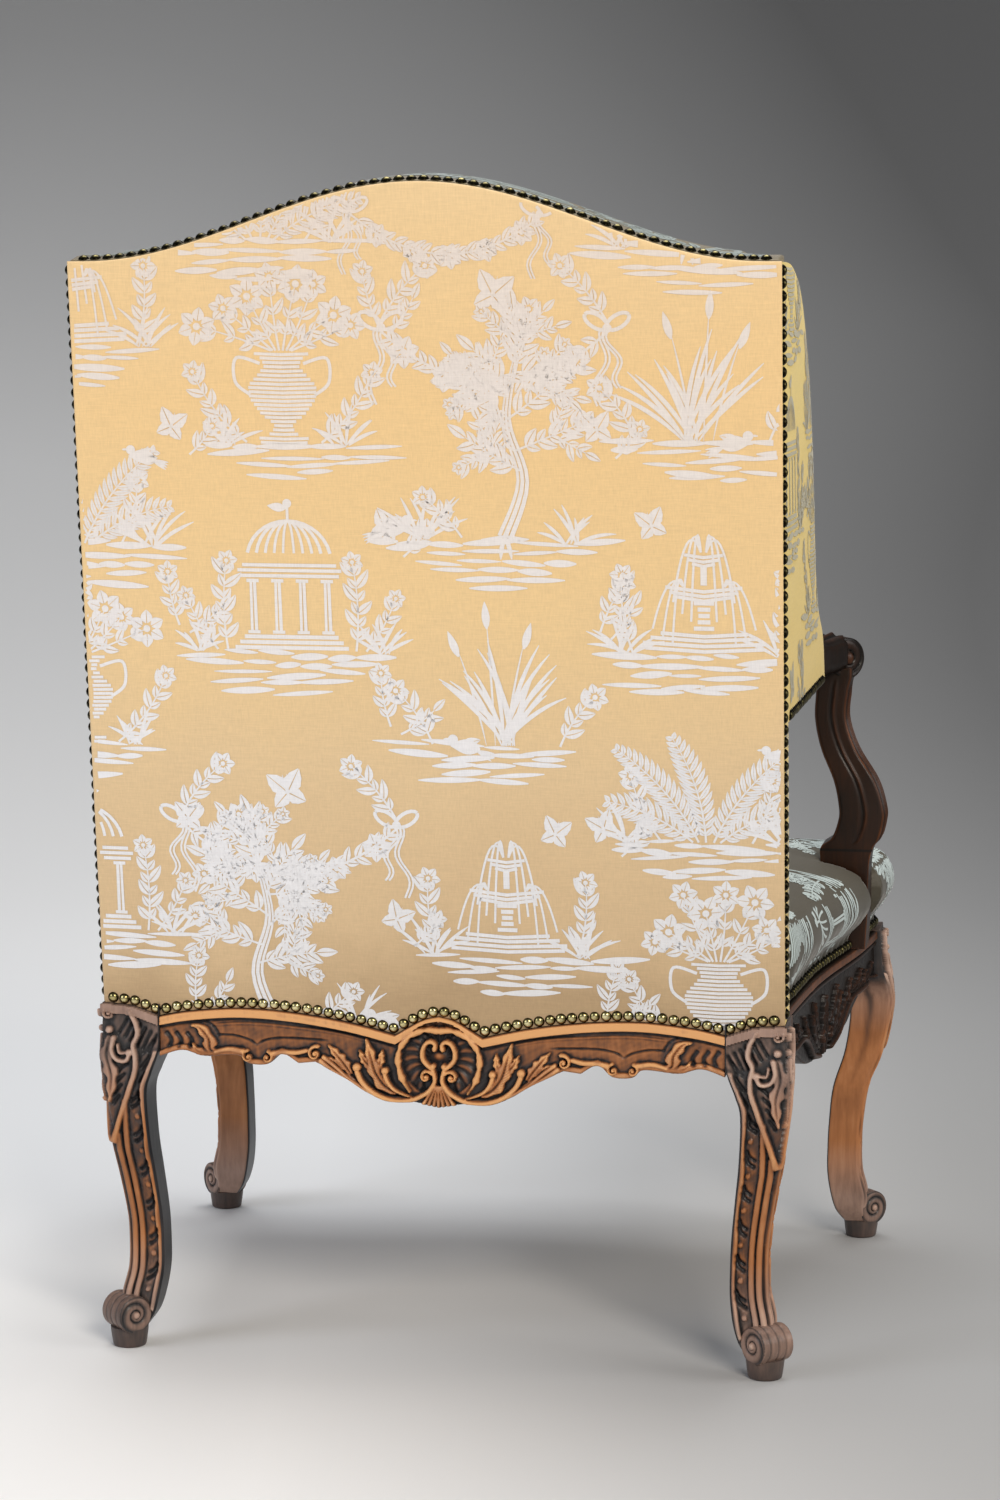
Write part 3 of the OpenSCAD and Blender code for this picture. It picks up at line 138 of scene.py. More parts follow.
class Piece:
    """Gathers grids in millimetres, starting with a tube if its rings are given, and makes one object."""

    def __init__(self, name, rings=None, tone=0.5):
        self.name, self.v, self.f, self.a, self.n = name, [], [], [], 0
        if rings is not None:
            self.tube(rings, tone)

    def add(self, verts, faces, tone, facing):
        """Adds faces turned outwards: away from their own middle, or along facing."""
        v = np.asarray(verts, float).reshape(-1, 3)
        f = np.asarray(faces, int)
        q = v[f]
        normal = np.cross(q[:, 2] - q[:, 0], q[:, 3] - q[:, 1])
        if facing is None:
            flip = (normal * (q.mean(1) - v.mean(0))).sum() < 0
        else:
            flip = (normal @ np.asarray(facing, float)).sum() < 0
        if flip:
            f = f[:, ::-1]
        self.v.append(v)
        self.f.append(f + self.n)
        self.a.append(np.broadcast_to(np.asarray(tone, float).ravel(), (len(v),)))
        self.n += len(v)

    def grid(self, points, tone=0.5, facing=None, wrap_u=False, wrap_v=False):
        """A sheet of points in rows, closed round in one direction or both."""
        p = np.asarray(points, float)
        self.add(p, grid_faces(p.shape[0], p.shape[1], wrap_u, wrap_v), tone, facing)

    def tube(self, rings, tone=0.5):
        """A form closed round through its rings, with a cap on each end."""
        rings = np.asarray(rings, float)
        self.grid(rings, tone, wrap_v=True)
        for end, other in ((0, -1), (-1, 0)):
            self.cap(rings[end], rings[end].mean(0) - rings[other].mean(0))

    def cap(self, ring, facing, tone=0.5):
        """Closes a ring with triangles round its middle."""
        ring = np.asarray(ring, float)
        c = ring.mean(0)
        n = len(ring)
        i = np.arange(n)
        f = np.stack([i, (i + 1) % n, np.full(n, n), np.full(n, n)], -1)
        v = np.vstack([ring, c])
        q = v[f[:, :3]]
        normal = np.cross(q[:, 1] - q[:, 0], q[:, 2] - q[:, 0])
        if (normal @ np.asarray(facing, float)).sum() < 0:
            f = f[:, [1, 0, 2, 3]]
        self.v.append(v)
        self.f.append(f + self.n)
        self.a.append(np.full(len(v), tone))
        self.n += len(v)

    def make(self, material, slot, side=1, replaces=None):
        """The object, in metres, mirrored for side -1. It replaces the CAD node of its name, or others."""
        v = np.vstack(self.v)
        f = np.vstack(self.f)
        tone = np.concatenate(self.a)
        if side < 0:
            v = v * [-1, 1, 1]
            f = f[:, ::-1]
        row = (v + [0, MIDDLE_Y, 0]) / 1000
        first = f[:, 0] == f[:, 1]
        tri = (f[:, 2] == f[:, 3]) | first
        quads, tris = f[~tri], np.where(first[tri][:, None], f[tri][:, 1:], f[tri][:, :3])
        loops = np.concatenate([quads.ravel(), tris.ravel()]).astype(np.int32)
        starts = np.repeat([4, 3], [len(quads), len(tris)])
        starts = (np.cumsum(starts) - starts).astype(np.int32)
        me = bpy.data.meshes.new(self.name)
        me.vertices.add(len(row))
        me.vertices.foreach_set("co", row.astype(np.float32).ravel())
        me.loops.add(len(loops))
        me.loops.foreach_set("vertex_index", loops)
        me.polygons.add(len(starts))
        me.polygons.foreach_set("loop_start", starts)
        me.polygons.foreach_set("use_smooth", np.ones(len(starts), bool))
        at = me.attributes.new("tone", "FLOAT", "POINT")
        at.data.foreach_set("value", tone.astype(np.float32))
        me.update(calc_edges=True)
        me.validate()
        # caps share their rings with the walls, and sharp edges stay sharp
        bm = bmesh.new()
        bm.from_mesh(me)
        bmesh.ops.remove_doubles(bm, verts=bm.verts, dist=2e-6)
        bm.to_mesh(me)
        bm.free()
        me.set_sharp_from_angle(angle=math.radians(58))
        me.materials.append(material)
        ob = bpy.data.objects.new(self.name, me)
        bpy.context.scene.collection.objects.link(ob)
        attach(ob, "root")
        if replaces is None:
            replaces = [self.name]
        if replaces:
            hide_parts(*replaces)
        return ob


def bvh_of(points, faces):
    """A search tree for looking at a surface."""
    return BVHTree.FromPolygons([Vector(p) for p in points], [tuple(int(i) for i in f) for f in faces])


def rounded_loop(x0, x1, y0, y1, r, counts, na):
    """A rounded rectangle, from (x0, y1) along y = y1 to (x1, y1) and on round; counts is points a side.

    r is one radius, or four of them: at (x1, y1), (x1, y0), (x0, y0) and (x0, y1).
    """
    a, b, c, d = (r, r, r, r) if np.isscalar(r) else r
    pts, nrm = [], []
    corners = [(x1 - a, y1 - a, 90, 0, a), (x1 - b, y0 + b, 0, -90, b),
               (x0 + c, y0 + c, -90, -180, c), (x0 + d, y1 - d, 180, 90, d)]
    sides = [((x0 + d, y1), (x1 - a, y1), (0, 1)), ((x1, y1 - a), (x1, y0 + b), (1, 0)),
             ((x1 - b, y0), (x0 + c, y0), (0, -1)), ((x0, y0 + c), (x0, y1 - d), (-1, 0))]
    for k in range(4):
        start, end, n = sides[k]
        for t in np.linspace(0, 1, counts[k]):
            pts.append((start[0] + (end[0] - start[0]) * t, start[1] + (end[1] - start[1]) * t))
            nrm.append(n)
        cx, cy, a0, a1, q = corners[k]
        for t in np.linspace(0, 1, na + 2)[1:-1]:
            w = math.radians(a0 + (a1 - a0) * t)
            pts.append((cx + q * math.cos(w), cy + q * math.sin(w)))
            nrm.append((math.cos(w), math.sin(w)))
    return np.array(pts), np.array(nrm)


class Relief:
    """Carving, as heights in millimetres over face coordinates U, V."""

    def __init__(self, U, V):
        self.U, self.V = U, V
        self.H = np.zeros_like(U)

    def near(self, pts, reach):
        """The points within reach of a line: how far from it, how far along it, and its length."""
        p = np.asarray(pts, float)
        lo, hi = p.min(0) - reach, p.max(0) + reach
        m = (self.U > lo[0]) & (self.U < hi[0]) & (self.V > lo[1]) & (self.V < hi[1])
        q = np.stack([self.U[m], self.V[m]], 1)
        d = np.diff(p, axis=0)
        ln = np.hypot(d[:, 0], d[:, 1])
        run = np.concatenate([[0], np.cumsum(ln)])
        best, t = np.full(len(q), 1e9), np.zeros(len(q))
        for k in range(len(d)):
            if ln[k] < 1e-9:
                continue
            w = q - p[k]
            s = unit((w @ d[k]) / ln[k] ** 2)
            r = w - s[:, None] * d[k]
            dist = np.hypot(r[:, 0], r[:, 1])
            b = dist < best
            best[b] = dist[b]
            t[b] = (run[k] + s[b] * ln[k]) / run[-1]
        return m, best, t, run[-1]

    def ridge(self, pts, width, height, taper=(1, 1)):
        """A rounded ridge along a line."""
        m, d, t, _ = self.near(pts, width)
        w = 0.5 * width * (taper[0] + (taper[1] - taper[0]) * t)
        h = height * half_round(d / w)
        self.H[m] = np.where(h > 0, np.maximum(self.H[m], h), self.H[m])

    def groove(self, pts, width, depth):
        """A cut along a line, shallow at both ends."""
        m, d, t, _ = self.near(pts, 2 * width)
        self.H[m] -= depth * bell(2 * d / width) * unit(8 * np.minimum(t, 1 - t) + 0.25)

    def leaf(self, pts, width, height, lobes=4, curl=0.5):
        """A lobed leaf with a cut along its middle and fine veins, rising to its tip."""
        pts = smooth(pts, 7)
        m, d, t, ln = self.near(pts, width)
        w = 0.5 * width * np.sin(np.pi * np.clip(t, 0.03, 0.985) ** 0.72) ** 0.7
        w *= 1 + 0.20 * np.sin(2 * np.pi * (lobes * t + 0.15))
        cross = half_round(d / np.maximum(w, 0.3))
        h = height * (1 - curl + curl * t) * cross
        h -= 0.42 * height * bell(d / (0.07 * width + 0.25)) * (t < 0.93)
        h *= 1 - 0.22 * (0.5 + 0.5 * np.cos(2 * np.pi * (t * ln / 3.4 - d / 2.8)))
        ok = (cross > 0) & (t > 0.001) & (t < 0.999)
        self.H[m] = np.where(ok, np.maximum(self.H[m], h), self.H[m])

    def volute(self, cx, cy, r, start, turns, hand, height, width=None):
        """A ridge that winds in to a pearl, from an angle in degrees; hand is 1 or -1."""
        k = np.linspace(0, 1, int(26 * turns) + 8)
        a = np.radians(start) + hand * 2 * np.pi * turns * k
        rr = r * 0.9 * np.exp(-1.25 * turns * k)
        p = np.stack([cx + rr * np.cos(a), cy + rr * np.sin(a)], 1)
        self.ridge(p, width or 0.42 * r, height, (1, 0.5))
        self.pearl(cx, cy, 0.26 * r, height * 1.1)

    def pearl(self, cx, cy, r, h):
        """A round knob."""
        self.raise_to(h * np.sqrt(unit(1 - ((self.U - cx) ** 2 + (self.V - cy) ** 2) / r**2)))

    def raise_to(self, h):
        """Raises the face to h where h stands above the flat, and leaves the ground as it is."""
        self.H = np.where(h > 0, np.maximum(self.H, h), self.H)

    def sink(self, share=0.45):
        """Cuts the ground deeper beside raised forms."""
        self.H = self.H - share * np.clip(eased(self.H, 30) - self.H, 0, 4)
        return self

    def tone(self):
        """How light the wood is painted: low in deep recesses, 1 on rubbed ridges. Dirt in the cuts and
        rubbing on the ridges are real, and the rest is painted shade in the recesses and painted highlight on
        the ridges.
        """
        fine, wide = eased(self.H, 12), eased(self.H, 70)
        top = eased(self.H, 2)
        return np.clip(0.46 + 0.12 * (top - fine) + 0.11 * (top - wide) + 0.035 * (self.H + 1.1), 0.16, 1)


def eased(h, times):
    """Heights smoothed a number of times."""
    for _ in range(times):
        p = np.pad(h, 1, mode="edge")
        h = 0.2 * (h + p[:-2, 1:-1] + p[2:, 1:-1] + p[1:-1, :-2] + p[1:-1, 2:])
    return h


def hand_cut(U, V, amount=0.16):
    """Small unevenness of hand carving."""
    return amount * (np.sin(U * 0.31 + 1.3 * np.sin(V * 0.17)) * np.sin(V * 0.27 + 0.8 * np.sin(U * 0.13))
                     + 0.5 * np.sin(U * 0.83 + V * 0.41) * np.sin(V * 0.71 - U * 0.23))


def crest_line(half):
    """Upper edge of a carved rail, as height at x, and the points that it goes through."""
    p = [[0, -3], [0.065 * half, -8], [0.155 * half, -23], [0.32 * half, -12], [0.52 * half, -4],
         [0.71 * half, -1.5], [0.89 * half, -6], [half, -12], [half + 28, -2.5], [half + BLOCK, 0]]
    return np.vstack([smooth(p[:3], 8), smooth(p[2:8], 8)[1:]]), p


def foot_line(half):
    """Lower edge of a carved rail, as height at x."""
    w = -50
    p = [[0, -94], [0.10 * half, -90], [0.21 * half, -88], [0.33 * half, w - 18], [0.44 * half, w - 3],
         [0.50 * half, w - 5], [0.56 * half, w + 4], [0.61 * half, w - 7], [0.68 * half, w - 7],
         [0.72 * half, w + 1], [0.84 * half, w - 1], [0.92 * half, w + 4], [half, w - 3]]
    return np.vstack([smooth(p[:5], 6), smooth(p[5:], 6)])


def rail_relief(X, Z, top):
    """Carving of the back rail on |x|, with Z = 0 at the rail top; top says whether its upper edge waves."""
    U = np.abs(X)
    r = Relief(U, Z)
    r.H += hand_cut(X, Z, 0.22) - 1.1
    line, _ = crest_line(BACK_INNER)
    edge = np.interp(U, line[:, 0], line[:, 1]) if top else np.zeros_like(U)
    foot = foot_line(BACK_INNER)
    low = np.interp(U, foot[:, 0], foot[:, 1])
    d = edge - Z
    # a worn flat band along the top, with a deep line below it
    r.raise_to(3.0 * unit((d + 0.5) / 1.2) * unit((9.6 - d) / 0.9))
    r.H -= 1.5 * bell((d - 11.6) / 1.5)
    # a rim along the bottom edge
    r.raise_to(2.4 * half_round((Z - low - 3.0) / 3.0) * (U > 30))
    # deep ground beside the cartouche
    r.H -= 1.8 * bell((U - 60) / 24) * unit((-26 - Z) / 8)
    # cartouche: dark fluted ground with a boss, ruffled rim
    c = np.hypot(U, Z + 46)
    a = np.arctan2(Z + 46, U)
    flute = -4.0 + 0.9 * np.cos(a * 20 + 1.1 * np.sin(c / 5)) * unit((c - 6) / 12)
    r.H = np.where(c < 38, flute, r.H)
    r.H += 3.6 * np.exp(-(U**2 + (Z + 42) ** 2) / 26)
    rim = smooth([[0, -17.5], [9, -16.5], [20, -18.5], [30, -24.5], [38, -34],
                  [41, -47], [39, -60], [35, -70], [29, -79]], 8)
    m, dist, t, _ = r.near(rim, 14)
    half = 2.8 + 0.7 * np.sin(2 * np.pi * t * 5.2) + 0.3 * np.sin(2 * np.pi * t * 11.1)
    half *= np.clip(6 * (1 - t), 0.3, 1)
    ruff = 4.6 * half_round(dist / half)
    r.H[m] = np.where(ruff > 0, np.maximum(r.H[m], ruff), r.H[m])
    # shell at the foot of the cartouche
    for k, x in enumerate((0, 4.8, 9.8, 15)):
        r.ridge([[x * 0.25, -72], [x, -93 + 0.9 * k]], 4.4, 3.8, (0.5, 1.1))
    # two scrolls meet as a heart, and stand on volutes whose stems sweep out to a curled tip
    heart = smooth([[4.2, -36], [3.4, -31], [7.5, -28], [13, -30.5],
                    [16.3, -38], [15.5, -46], [10.5, -52], [6, -55]], 8)
    r.ridge(heart, 4.6, 5.6, (0.9, 1.1))
    r.pearl(3.9, -34.5, 2.8, 6.0)
    r.pearl(5.4, -52.6, 2.9, 6.4)
    r.volute(12.6, -63.5, 7.8, 150, 1.5, -1, 6.0, width=3.8)
    stem = smooth([[5.4, -57], [3.6, -66], [5.8, -72], [12, -79.5], [24, -86],
                   [38, -88.5], [52, -87], [66, -81], [77, -71], [82, -61]], 7)
    r.ridge(stem, 5.8, 5.6, (0.8, 1.0))
    r.pearl(82.5, -56.5, 4.4, 6.4)
    r.ridge(smooth([[27, -84], [36, -81.5], [45, -77], [51, -70], [54, -63]], 7), 5.4, 5.0, (0.25, 1.0))
    r.pearl(54, -59, 4.0, 6.0)
    # the lower edge runs on to a volute, with a leaf above it
    for k, across in enumerate((6.0, 5.0)):
        q = smooth([[58 + 22 * k, -85 + 11 * k], [84 + 6 * k, -73.5 + 5 * k],
                    [104, -62 + 5.5 * k], [119 - 3 * k, -51 + 3.4 * k]], 7)
        r.ridge(q, across, 4.6 - 0.6 * k, (0.8, 1))
    for pts, w, h in (
            ([[42, -80], [53, -75], [63, -62], [68, -46], [73, -27]], 14, 5.6),
            ([[64, -60], [59, -51], [57, -38]], 8.5, 5.0),
            ([[66, -57], [74, -50], [80, -39]], 8.5, 5.0),
            ([[88, -64], [94, -55], [102, -45], [111, -35]], 11, 5.0),
            ([[98, -60], [104, -53], [113, -47]], 8, 4.4)):
        r.leaf(pts, w, h, lobes=4)
    r.volute(124.5, -44.5, 9.0, 110, 1.5, -1, 5.4)
    r.ridge(smooth([[133, -41.5], [144, -44], [158, -44], [167, -46]], 6), 6.6, 4.0, (0.7, 1))
    r.volute(173.5, -50.0, 7.0, 100, 1.3, 1, 5.2)
    r.volute(192.5, -50.0, 7.0, 80, 1.3, -1, 5.2)
    r.ridge(smooth([[198, -45], [212, -43], [226, -46]], 6), 6.6, 4.0, (1, 0.7))
    r.leaf([[222, -49], [231, -44], [233, -33], [242, -22], [251, -20]], 13, 5.4, lobes=3)
    r.leaf([[228, -50], [244, -46], [250, -38]], 9, 4.4, lobes=2)
    for x in (254, 265, 275):
        r.groove(smooth([[x, -44], [x - 3, -36], [x + 3, -27]], 5), 5.0, 2.6)
    for y, depth in ((-19, 1.2), (-22, 0.6)):
        q = smooth([[70, y - 10], [100, y - 3], [140, y + 1], [190, y + 4], [232, y + 1]], 6)
        r.groove(q, 1.7, depth)
    r.groove(smooth([[112, -31], [136, -30], [160, -30], [176, -33], [184, -38]], 6), 2.2, 1.7)
    r.groove(smooth([[184, -38], [192, -33], [208, -29], [224, -29]], 6), 2.2, 1.7)
    r.groove(smooth([[238, -15], [228, -21], [222, -31]], 6), 2.6, 1.6)
    return r.sink()


def carved_rail(name, xs, lower, upper, carving, place, rebate, painted_light=1.0):
    """A rail whose face is a carved grid, closed round its back."""
    t = np.linspace(0, 1, 96)[None, :]
    lo, up = lower[:, None], upper[:, None]
    Z = lo + (up - lo) * t
    X = np.repeat(xs[:, None], Z.shape[1], 1)
    r = carving(X, Z)
    e = np.minimum(Z - lo, up - Z)
    face = place(X, Z, r.H - rounded_off(e, 2.6))
    # the band along the top is rubbed brightest
    band = unit((up - Z) / 1.5) * unit((9.6 - (up - Z)) / 1.5)
    # the half towards -x is painted a little lighter, and each rail's tone is scaled lighter or darker:
    # painted light and painted shade
    tone = painted_light * (r.tone() + 0.05 * unit(-X / 150)) + 0.30 * band
    rows, tones = [face], [tone]
    around = [(up[:, 0], -rebate), (0 * xs, -rebate)] if rebate else []
    low = lo[:, 0]
    around += [(0 * xs - 0.8, -RAIL_THICK), (low * 0.5 + up[:, 0] * 0.5, -RAIL_THICK), (low + 1, -RAIL_THICK),
               (low, -RAIL_THICK + 1.5), (low, -RAIL_THICK * 0.5), (low, -5)]
    for z, out in around:
        rows.append(place(xs, z, np.full(len(xs), float(out)))[:, None])
        tones.append(np.full((len(xs), 1), 0.34))
    return Piece(name, np.concatenate(rows, 1), np.concatenate(tones, 1))


def bow_y(x):
    """Y of the front rail's face, which bows forward in the middle."""
    return FRONT_FACE - BOW * (0.5 + 0.5 * np.cos(np.pi * np.minimum(1, np.abs(x) / FRONT_INNER)))


SIDE_REAR, SIDE_FRONT = (REAR_HALF - 11, -BLOCK), (FRONT_HALF - 5, -DEPTH + BLOCK)
side_dx, side_dy = SIDE_FRONT[0] - SIDE_REAR[0], SIDE_FRONT[1] - SIDE_REAR[1]
side_curve = smooth([SIDE_REAR, (SIDE_REAR[0] + 0.28 * side_dx, SIDE_REAR[1] + 0.43 * side_dy),
                     (SIDE_REAR[0] + 0.80 * side_dx, SIDE_REAR[1] + 0.80 * side_dy), SIDE_FRONT], 8)


def side_x(y):
    """X of a side rail's face, which swells outwards."""
    return np.interp(-np.asarray(y, float), -side_curve[:, 1], side_curve[:, 0])


def leg_shape(swell, z):
    """How far out a leg stands at a height, and how wide it is there."""
    s = smooth([[355, 0, 60], [321, .25 * swell, 60 + .25 * swell], [311, .35 * swell, 59.2 + .35 * swell],
                [299, .6 * swell, 56 + .6 * swell], [283, .9 * swell - 1, 49], [263, swell - 2, 43],
                [216, .7 * swell - 7.7, 39], [175, -15, 36], [135, -20.9, 34], [SCROLL_Z + 72, -22, 34],
                [SCROLL_Z + 45, -20.9, 35], [SCROLL_Z + 20, -15.4, 37],
                [SCROLL_Z, -16, 31], [SCROLL_Z - 14, -14, 24]], 6)[::-1]
    return np.interp(z, s[:, 0], s[:, 1]), np.interp(z, s[:, 0], s[:, 2])


def knee_relief(U, Z, W):
    """Carving of an outer face of a leg: U from its outer corner, Z below the rail top, W its width there."""
    r = Relief(U, Z)
    r.H += hand_cut(U * 1.7, Z, 0.24) - 1.3
    z = np.linspace(-50, -316, 90)
    up = Z[0, 0] < Z[0, -1]
    inner = np.interp(z, Z.mean(0) if up else Z.mean(0)[::-1], W.mean(0) if up else W.mean(0)[::-1])
    # knee: a wavy strap, a scrolled leaf and gouged ground
    for k in range(6):
        r.groove([[28 + 6 * k, -14 - 3 * k], [17 + 6 * k, -32 - 4 * k]], 3.4, 2.4)
    for k in range(4):
        r.groove([[27 - 4 * k, -60 - 11 * k], [12 - 2 * k, -72 - 11 * k]], 3.4, 2.4)
    for k in range(4):
        r.groove([[54 - 3 * k, -36 - 15 * k], [42 - 3 * k, -52 - 15 * k]], 3.6, 2.2)
    r.volute(8.5, -10.5, 7.0, 150, 1.2, 1, 4.6)
    r.pearl(8.5, -27, 4.0, 4.8)
    r.leaf([[9, -33], [5.5, -52], [9, -76], [4, -102]], 14, 4.8, lobes=4)
    r.ridge(smooth([[13, -35], [11, -48], [16, -57], [25, -58], [29.5, -51]], 7), 5.2, 4.8, (1, 0.9))
    r.pearl(29, -50, 4.2, 5.2)
    r.ridge(smooth([[17, -42], [19, -50], [25, -50]], 6), 3.2, 3.8)
    strap = [[30, -8], [36, -20], [37.5, -31], [33, -42], [35, -54],
             [33.5, -68], [26, -88], [16, -110], [7, -130], [3, -142]]
    r.ridge(smooth(strap, 7), 6.8, 5.2, (0.75, 0.9))
    # two ribs down to the foot scroll
    z2 = np.linspace(-100, -304, 60)
    wide = np.interp(-z2, -z, inner)
    for share, start, across in ((0.37, -100, 6.2), (0.155, -134, 6.4)):
        q = z2 <= start
        r.ridge(np.stack([(share * wide + np.interp(z2, [-150, -100], [0, 4.0]))[q], z2[q]], 1), across, 3.0)
    # a wavy inner rim, and slanting gouges beside it
    r.ridge(np.stack([inner - 3.6 + 0.8 * np.sin(z / 11), z], 1), 5.4, 3.8)
    for k, zz in enumerate(np.arange(-92, -286, -36.0)):
        w = np.interp(-zz, -z, inner)
        for d in (0, 6.5):
            q = smooth([[0.84 * w, zz - d + 3], [0.74 * w, zz - d - 4], [0.55 * w, zz - d - 9]], 4)
            r.groove(q, 4.2, 3.4)
        r.pearl(0.70 * w, zz - 24, 2.8, 0.5)
    return r.sink(0.35)


def leg_parts(piece, corner, sy, swell, rebated):
    """One leg at the +X side. corner is its outer corner, sy is +1 at the back and -1 at the front."""
    z = np.concatenate([np.linspace(355, 24, 290), np.linspace(23, 20.5, 3)])
    o, w = leg_shape(swell, z)
    rc = np.interp(z, [20, 60, 140, 250, 290, 306, 355], [9, 8, 6, 5, 3, 1.6, 1.4])
    counts, na = (52, 52, 15, 15), 7
    loops, norms = [], []
    for k in range(len(z)):
        radii = [min(rc[k], most) for most in (9, 2.4, 4.0, 2.4)]
        p, n = rounded_loop(-w[k], 0, -w[k], 0, radii, counts, na)
        loops.append(p)
        norms.append(n)
    P, N = np.array(loops), np.array(norms)
    ux, uy = -P[:, :, 0], -P[:, :, 1]
    Z = np.repeat((z - RAIL_TOP)[:, None], P.shape[1], 1)
    W = np.repeat(w[:, None], P.shape[1], 1)
    n1 = counts[0]
    cut = n1 + na + counts[1]
    U = np.where(np.arange(P.shape[1])[None] < n1, ux, uy)
    arc = slice(n1, n1 + na)
    U[:, arc] = np.maximum(ux[:, arc], uy[:, arc])
    r = knee_relief(U[:, :cut].T, Z[:, :cut].T, W[:, :cut].T)
    H = np.zeros_like(U)
    H[:, :cut] = r.H.T
    # the plain faces of a rear leg are painted near black: painted shade
    tone = np.full_like(U, 0.14 if rebated else 0.69)
    tone[:, :cut] = 0.03 + 0.84 * r.tone().T
    side = np.arange(P.shape[1])
    if not rebated:
        # the plain faces have a dark streak that tapers down from the rail
        for at in (cut + na + counts[2] // 2, P.shape[1] - na // 2 - counts[3] // 2 - 1):
            streak = bell((side - at) / 1.6)[None] * unit((Z[:, :1] + 210) / 150)
            tone[:, cut:] -= 0.34 * streak[:, cut:]
        # the plain faces are painted darker at the top, where the rails meet them, and the inner side face
        # darker all down: painted shade
        tone[:, cut:] -= 0.42 * unit((Z[:, cut:] + 66) / 14)
        tone[:, cut + na + counts[2] + na // 2:] -= 0.5
    H *= unit((z - 30) / 12)[:, None]
    fade = unit((W - U - 1.0) / 3.0)
    H[:, :cut] *= fade[:, :cut]
    if rebated:
        _, p = crest_line(BACK_INNER)
        edge = np.interp(REAR_HALF - ux, [p[7][0], p[8][0], p[9][0]], [p[7][1], p[8][1], p[9][1]])
        rear = side < n1 + na // 2
        above = (Z > edge - 0.2) & rear[None]
        lip = (Z <= edge - 0.2) & (Z > edge - 9.5) & rear[None]
        H = np.where(lip, np.maximum(H, 1.9), H)
        tone = np.where(lip, 0.66, tone)
        H = np.where(above, -9.5, H)
    x = corner[0] + o[:, None] + P[:, :, 0] + N[:, :, 0] * H
    y = o[:, None] + P[:, :, 1] + N[:, :, 1] * H
    G = np.stack([x, corner[1] + sy * y, np.repeat(z[:, None], P.shape[1], 1)], -1)
    piece.grid(G, tone, wrap_v=True)
    piece.cap(G[0], facing=(0, 0, 1))
    # pad on the floor, with the foot's scroll over it
    a = np.linspace(0, 2 * np.pi, 49)[:-1]
    prof = [(0.01, 0), (14.5, 0), (16.3, 0.6), (17, 2.2), (18.2, 10), (19, 16.5), (19.2, 20), (10, 22)]
    cx, cy = corner[0] - 20, corner[1] - sy * 20
    ring = np.array([[[cx + q * math.cos(b), cy + q * math.sin(b), h] for b in a] for q, h in prof])
    piece.grid(ring, 0.36, wrap_v=True)
    outward = np.array([1, sy, 0]) / math.sqrt(2)
    volute_drum(piece, (cx + 2, cy + sy * 2, SCROLL_Z), outward, SCROLL_RADIUS, 19.5, -90, 1)


def volute_drum(piece, centre, out, radius, half, start, hand, eye=0.2, painted_light=1.0):
    """A roll across the direction out, with a spiral in both ends that winds in from the angle start."""
    out = np.asarray(out, float)
    up = np.array([0, 0, 1.0])
    axis = np.cross(out, up)
    axis = directions(axis)
    c = np.asarray(centre, float)
    th = np.linspace(0, 2 * np.pi, 97)[:-1]
    # each turn of the spiral is this much smaller than the last
    shrink = 0.42
    rr = np.concatenate([np.linspace(0.002, 0.97, 30), [0.99, 1.0]]) * radius
    T, R = np.meshgrid(th, rr, indexing="ij")
    turn = hand * (T - math.radians(start)) / (2 * np.pi)
    phase = np.mod(turn + np.log(np.maximum(R, 0.02) / radius) / math.log(1 / shrink), 1)
    v = np.abs(phase - 0.5) * 2
    h = 2.2 * (1 - v**2.6) - 0.6
    e = R < eye * radius
    h = np.where(e, 1.0 + 2.6 * half_round(R / (eye * radius)), h)
    h *= unit((radius - R) / (0.10 * radius))
    # the spiral is darker in its hollows and lighter on its ridges, partly dirt and rubbing and partly
    # painted shade and painted highlight, and the whole is scaled lighter or darker as painted light and
    # shade
    tone_end = painted_light * np.clip(0.30 + 0.17 * h, 0.05, 0.85)
    for s in (-1, 1):
        spoke = np.cos(T)[..., None] * out + np.sin(T)[..., None] * up
        P = c + R[..., None] * spoke + axis * (s * (half - 1.5 + h))[..., None]
        piece.grid(P, tone_end, wrap_u=True, facing=axis * s)
    a = np.linspace(-half + 1.5, half - 1.5, 41)
    k = a / half
    bulge = 1 + 0.035 * (1 - k**2)
    groove = sum(0.045 * bell((k - g) / 0.05) for g in np.linspace(-0.5, 0.5, 3))
    prof = radius * (bulge - groove)
    prof[0], prof[-1] = radius, radius
    A, T2 = np.meshgrid(a, th, indexing="ij")
    Pr = np.repeat(prof[:, None], len(th), 1)
    Q = c + Pr[..., None] * (np.cos(T2)[..., None] * out + np.sin(T2)[..., None] * up) + axis * A[..., None]
    # the grooves round the roll are darker, partly dirt and partly painted shade
    piece.grid(Q, np.repeat(painted_light * (0.52 - 3.0 * groove)[:, None], len(th), 1), wrap_v=True)


# Finishes
# Real sizes of the patterns, in millimetres
GRAIN_FLECK, GRAIN_LENGTH, WAX_STAIN = 5.0, 55.0, 70.0
SLUB, SLUB_LENGTH, SILK_THREAD, SILK_MOTTLE = 1.25, 14.0, 0.9, 110.0
JUTE_YARN, HESSIAN_YARN, TARNISH = 1.4, 1.0, 2.4
# At scale 1 a noise has features a metre wide, and a wave repeats every 314 mm
NOISE, WAVE = 1000.0, 314.16
# Metres above the floor: the middle of a leg's shaft, where the legs are least grey, and where each cloth's
# painted light starts and ends: each cloth is painted lighter or warmer higher up
SHAFT_MIDDLE = 0.175
BACK_LIGHT, WING_LIGHT, SEAT_LIGHT, PAD_LIGHT = (0.36, 1.16), (0.65, 1.09), (0.36, 0.47), (0.5, 1.16)


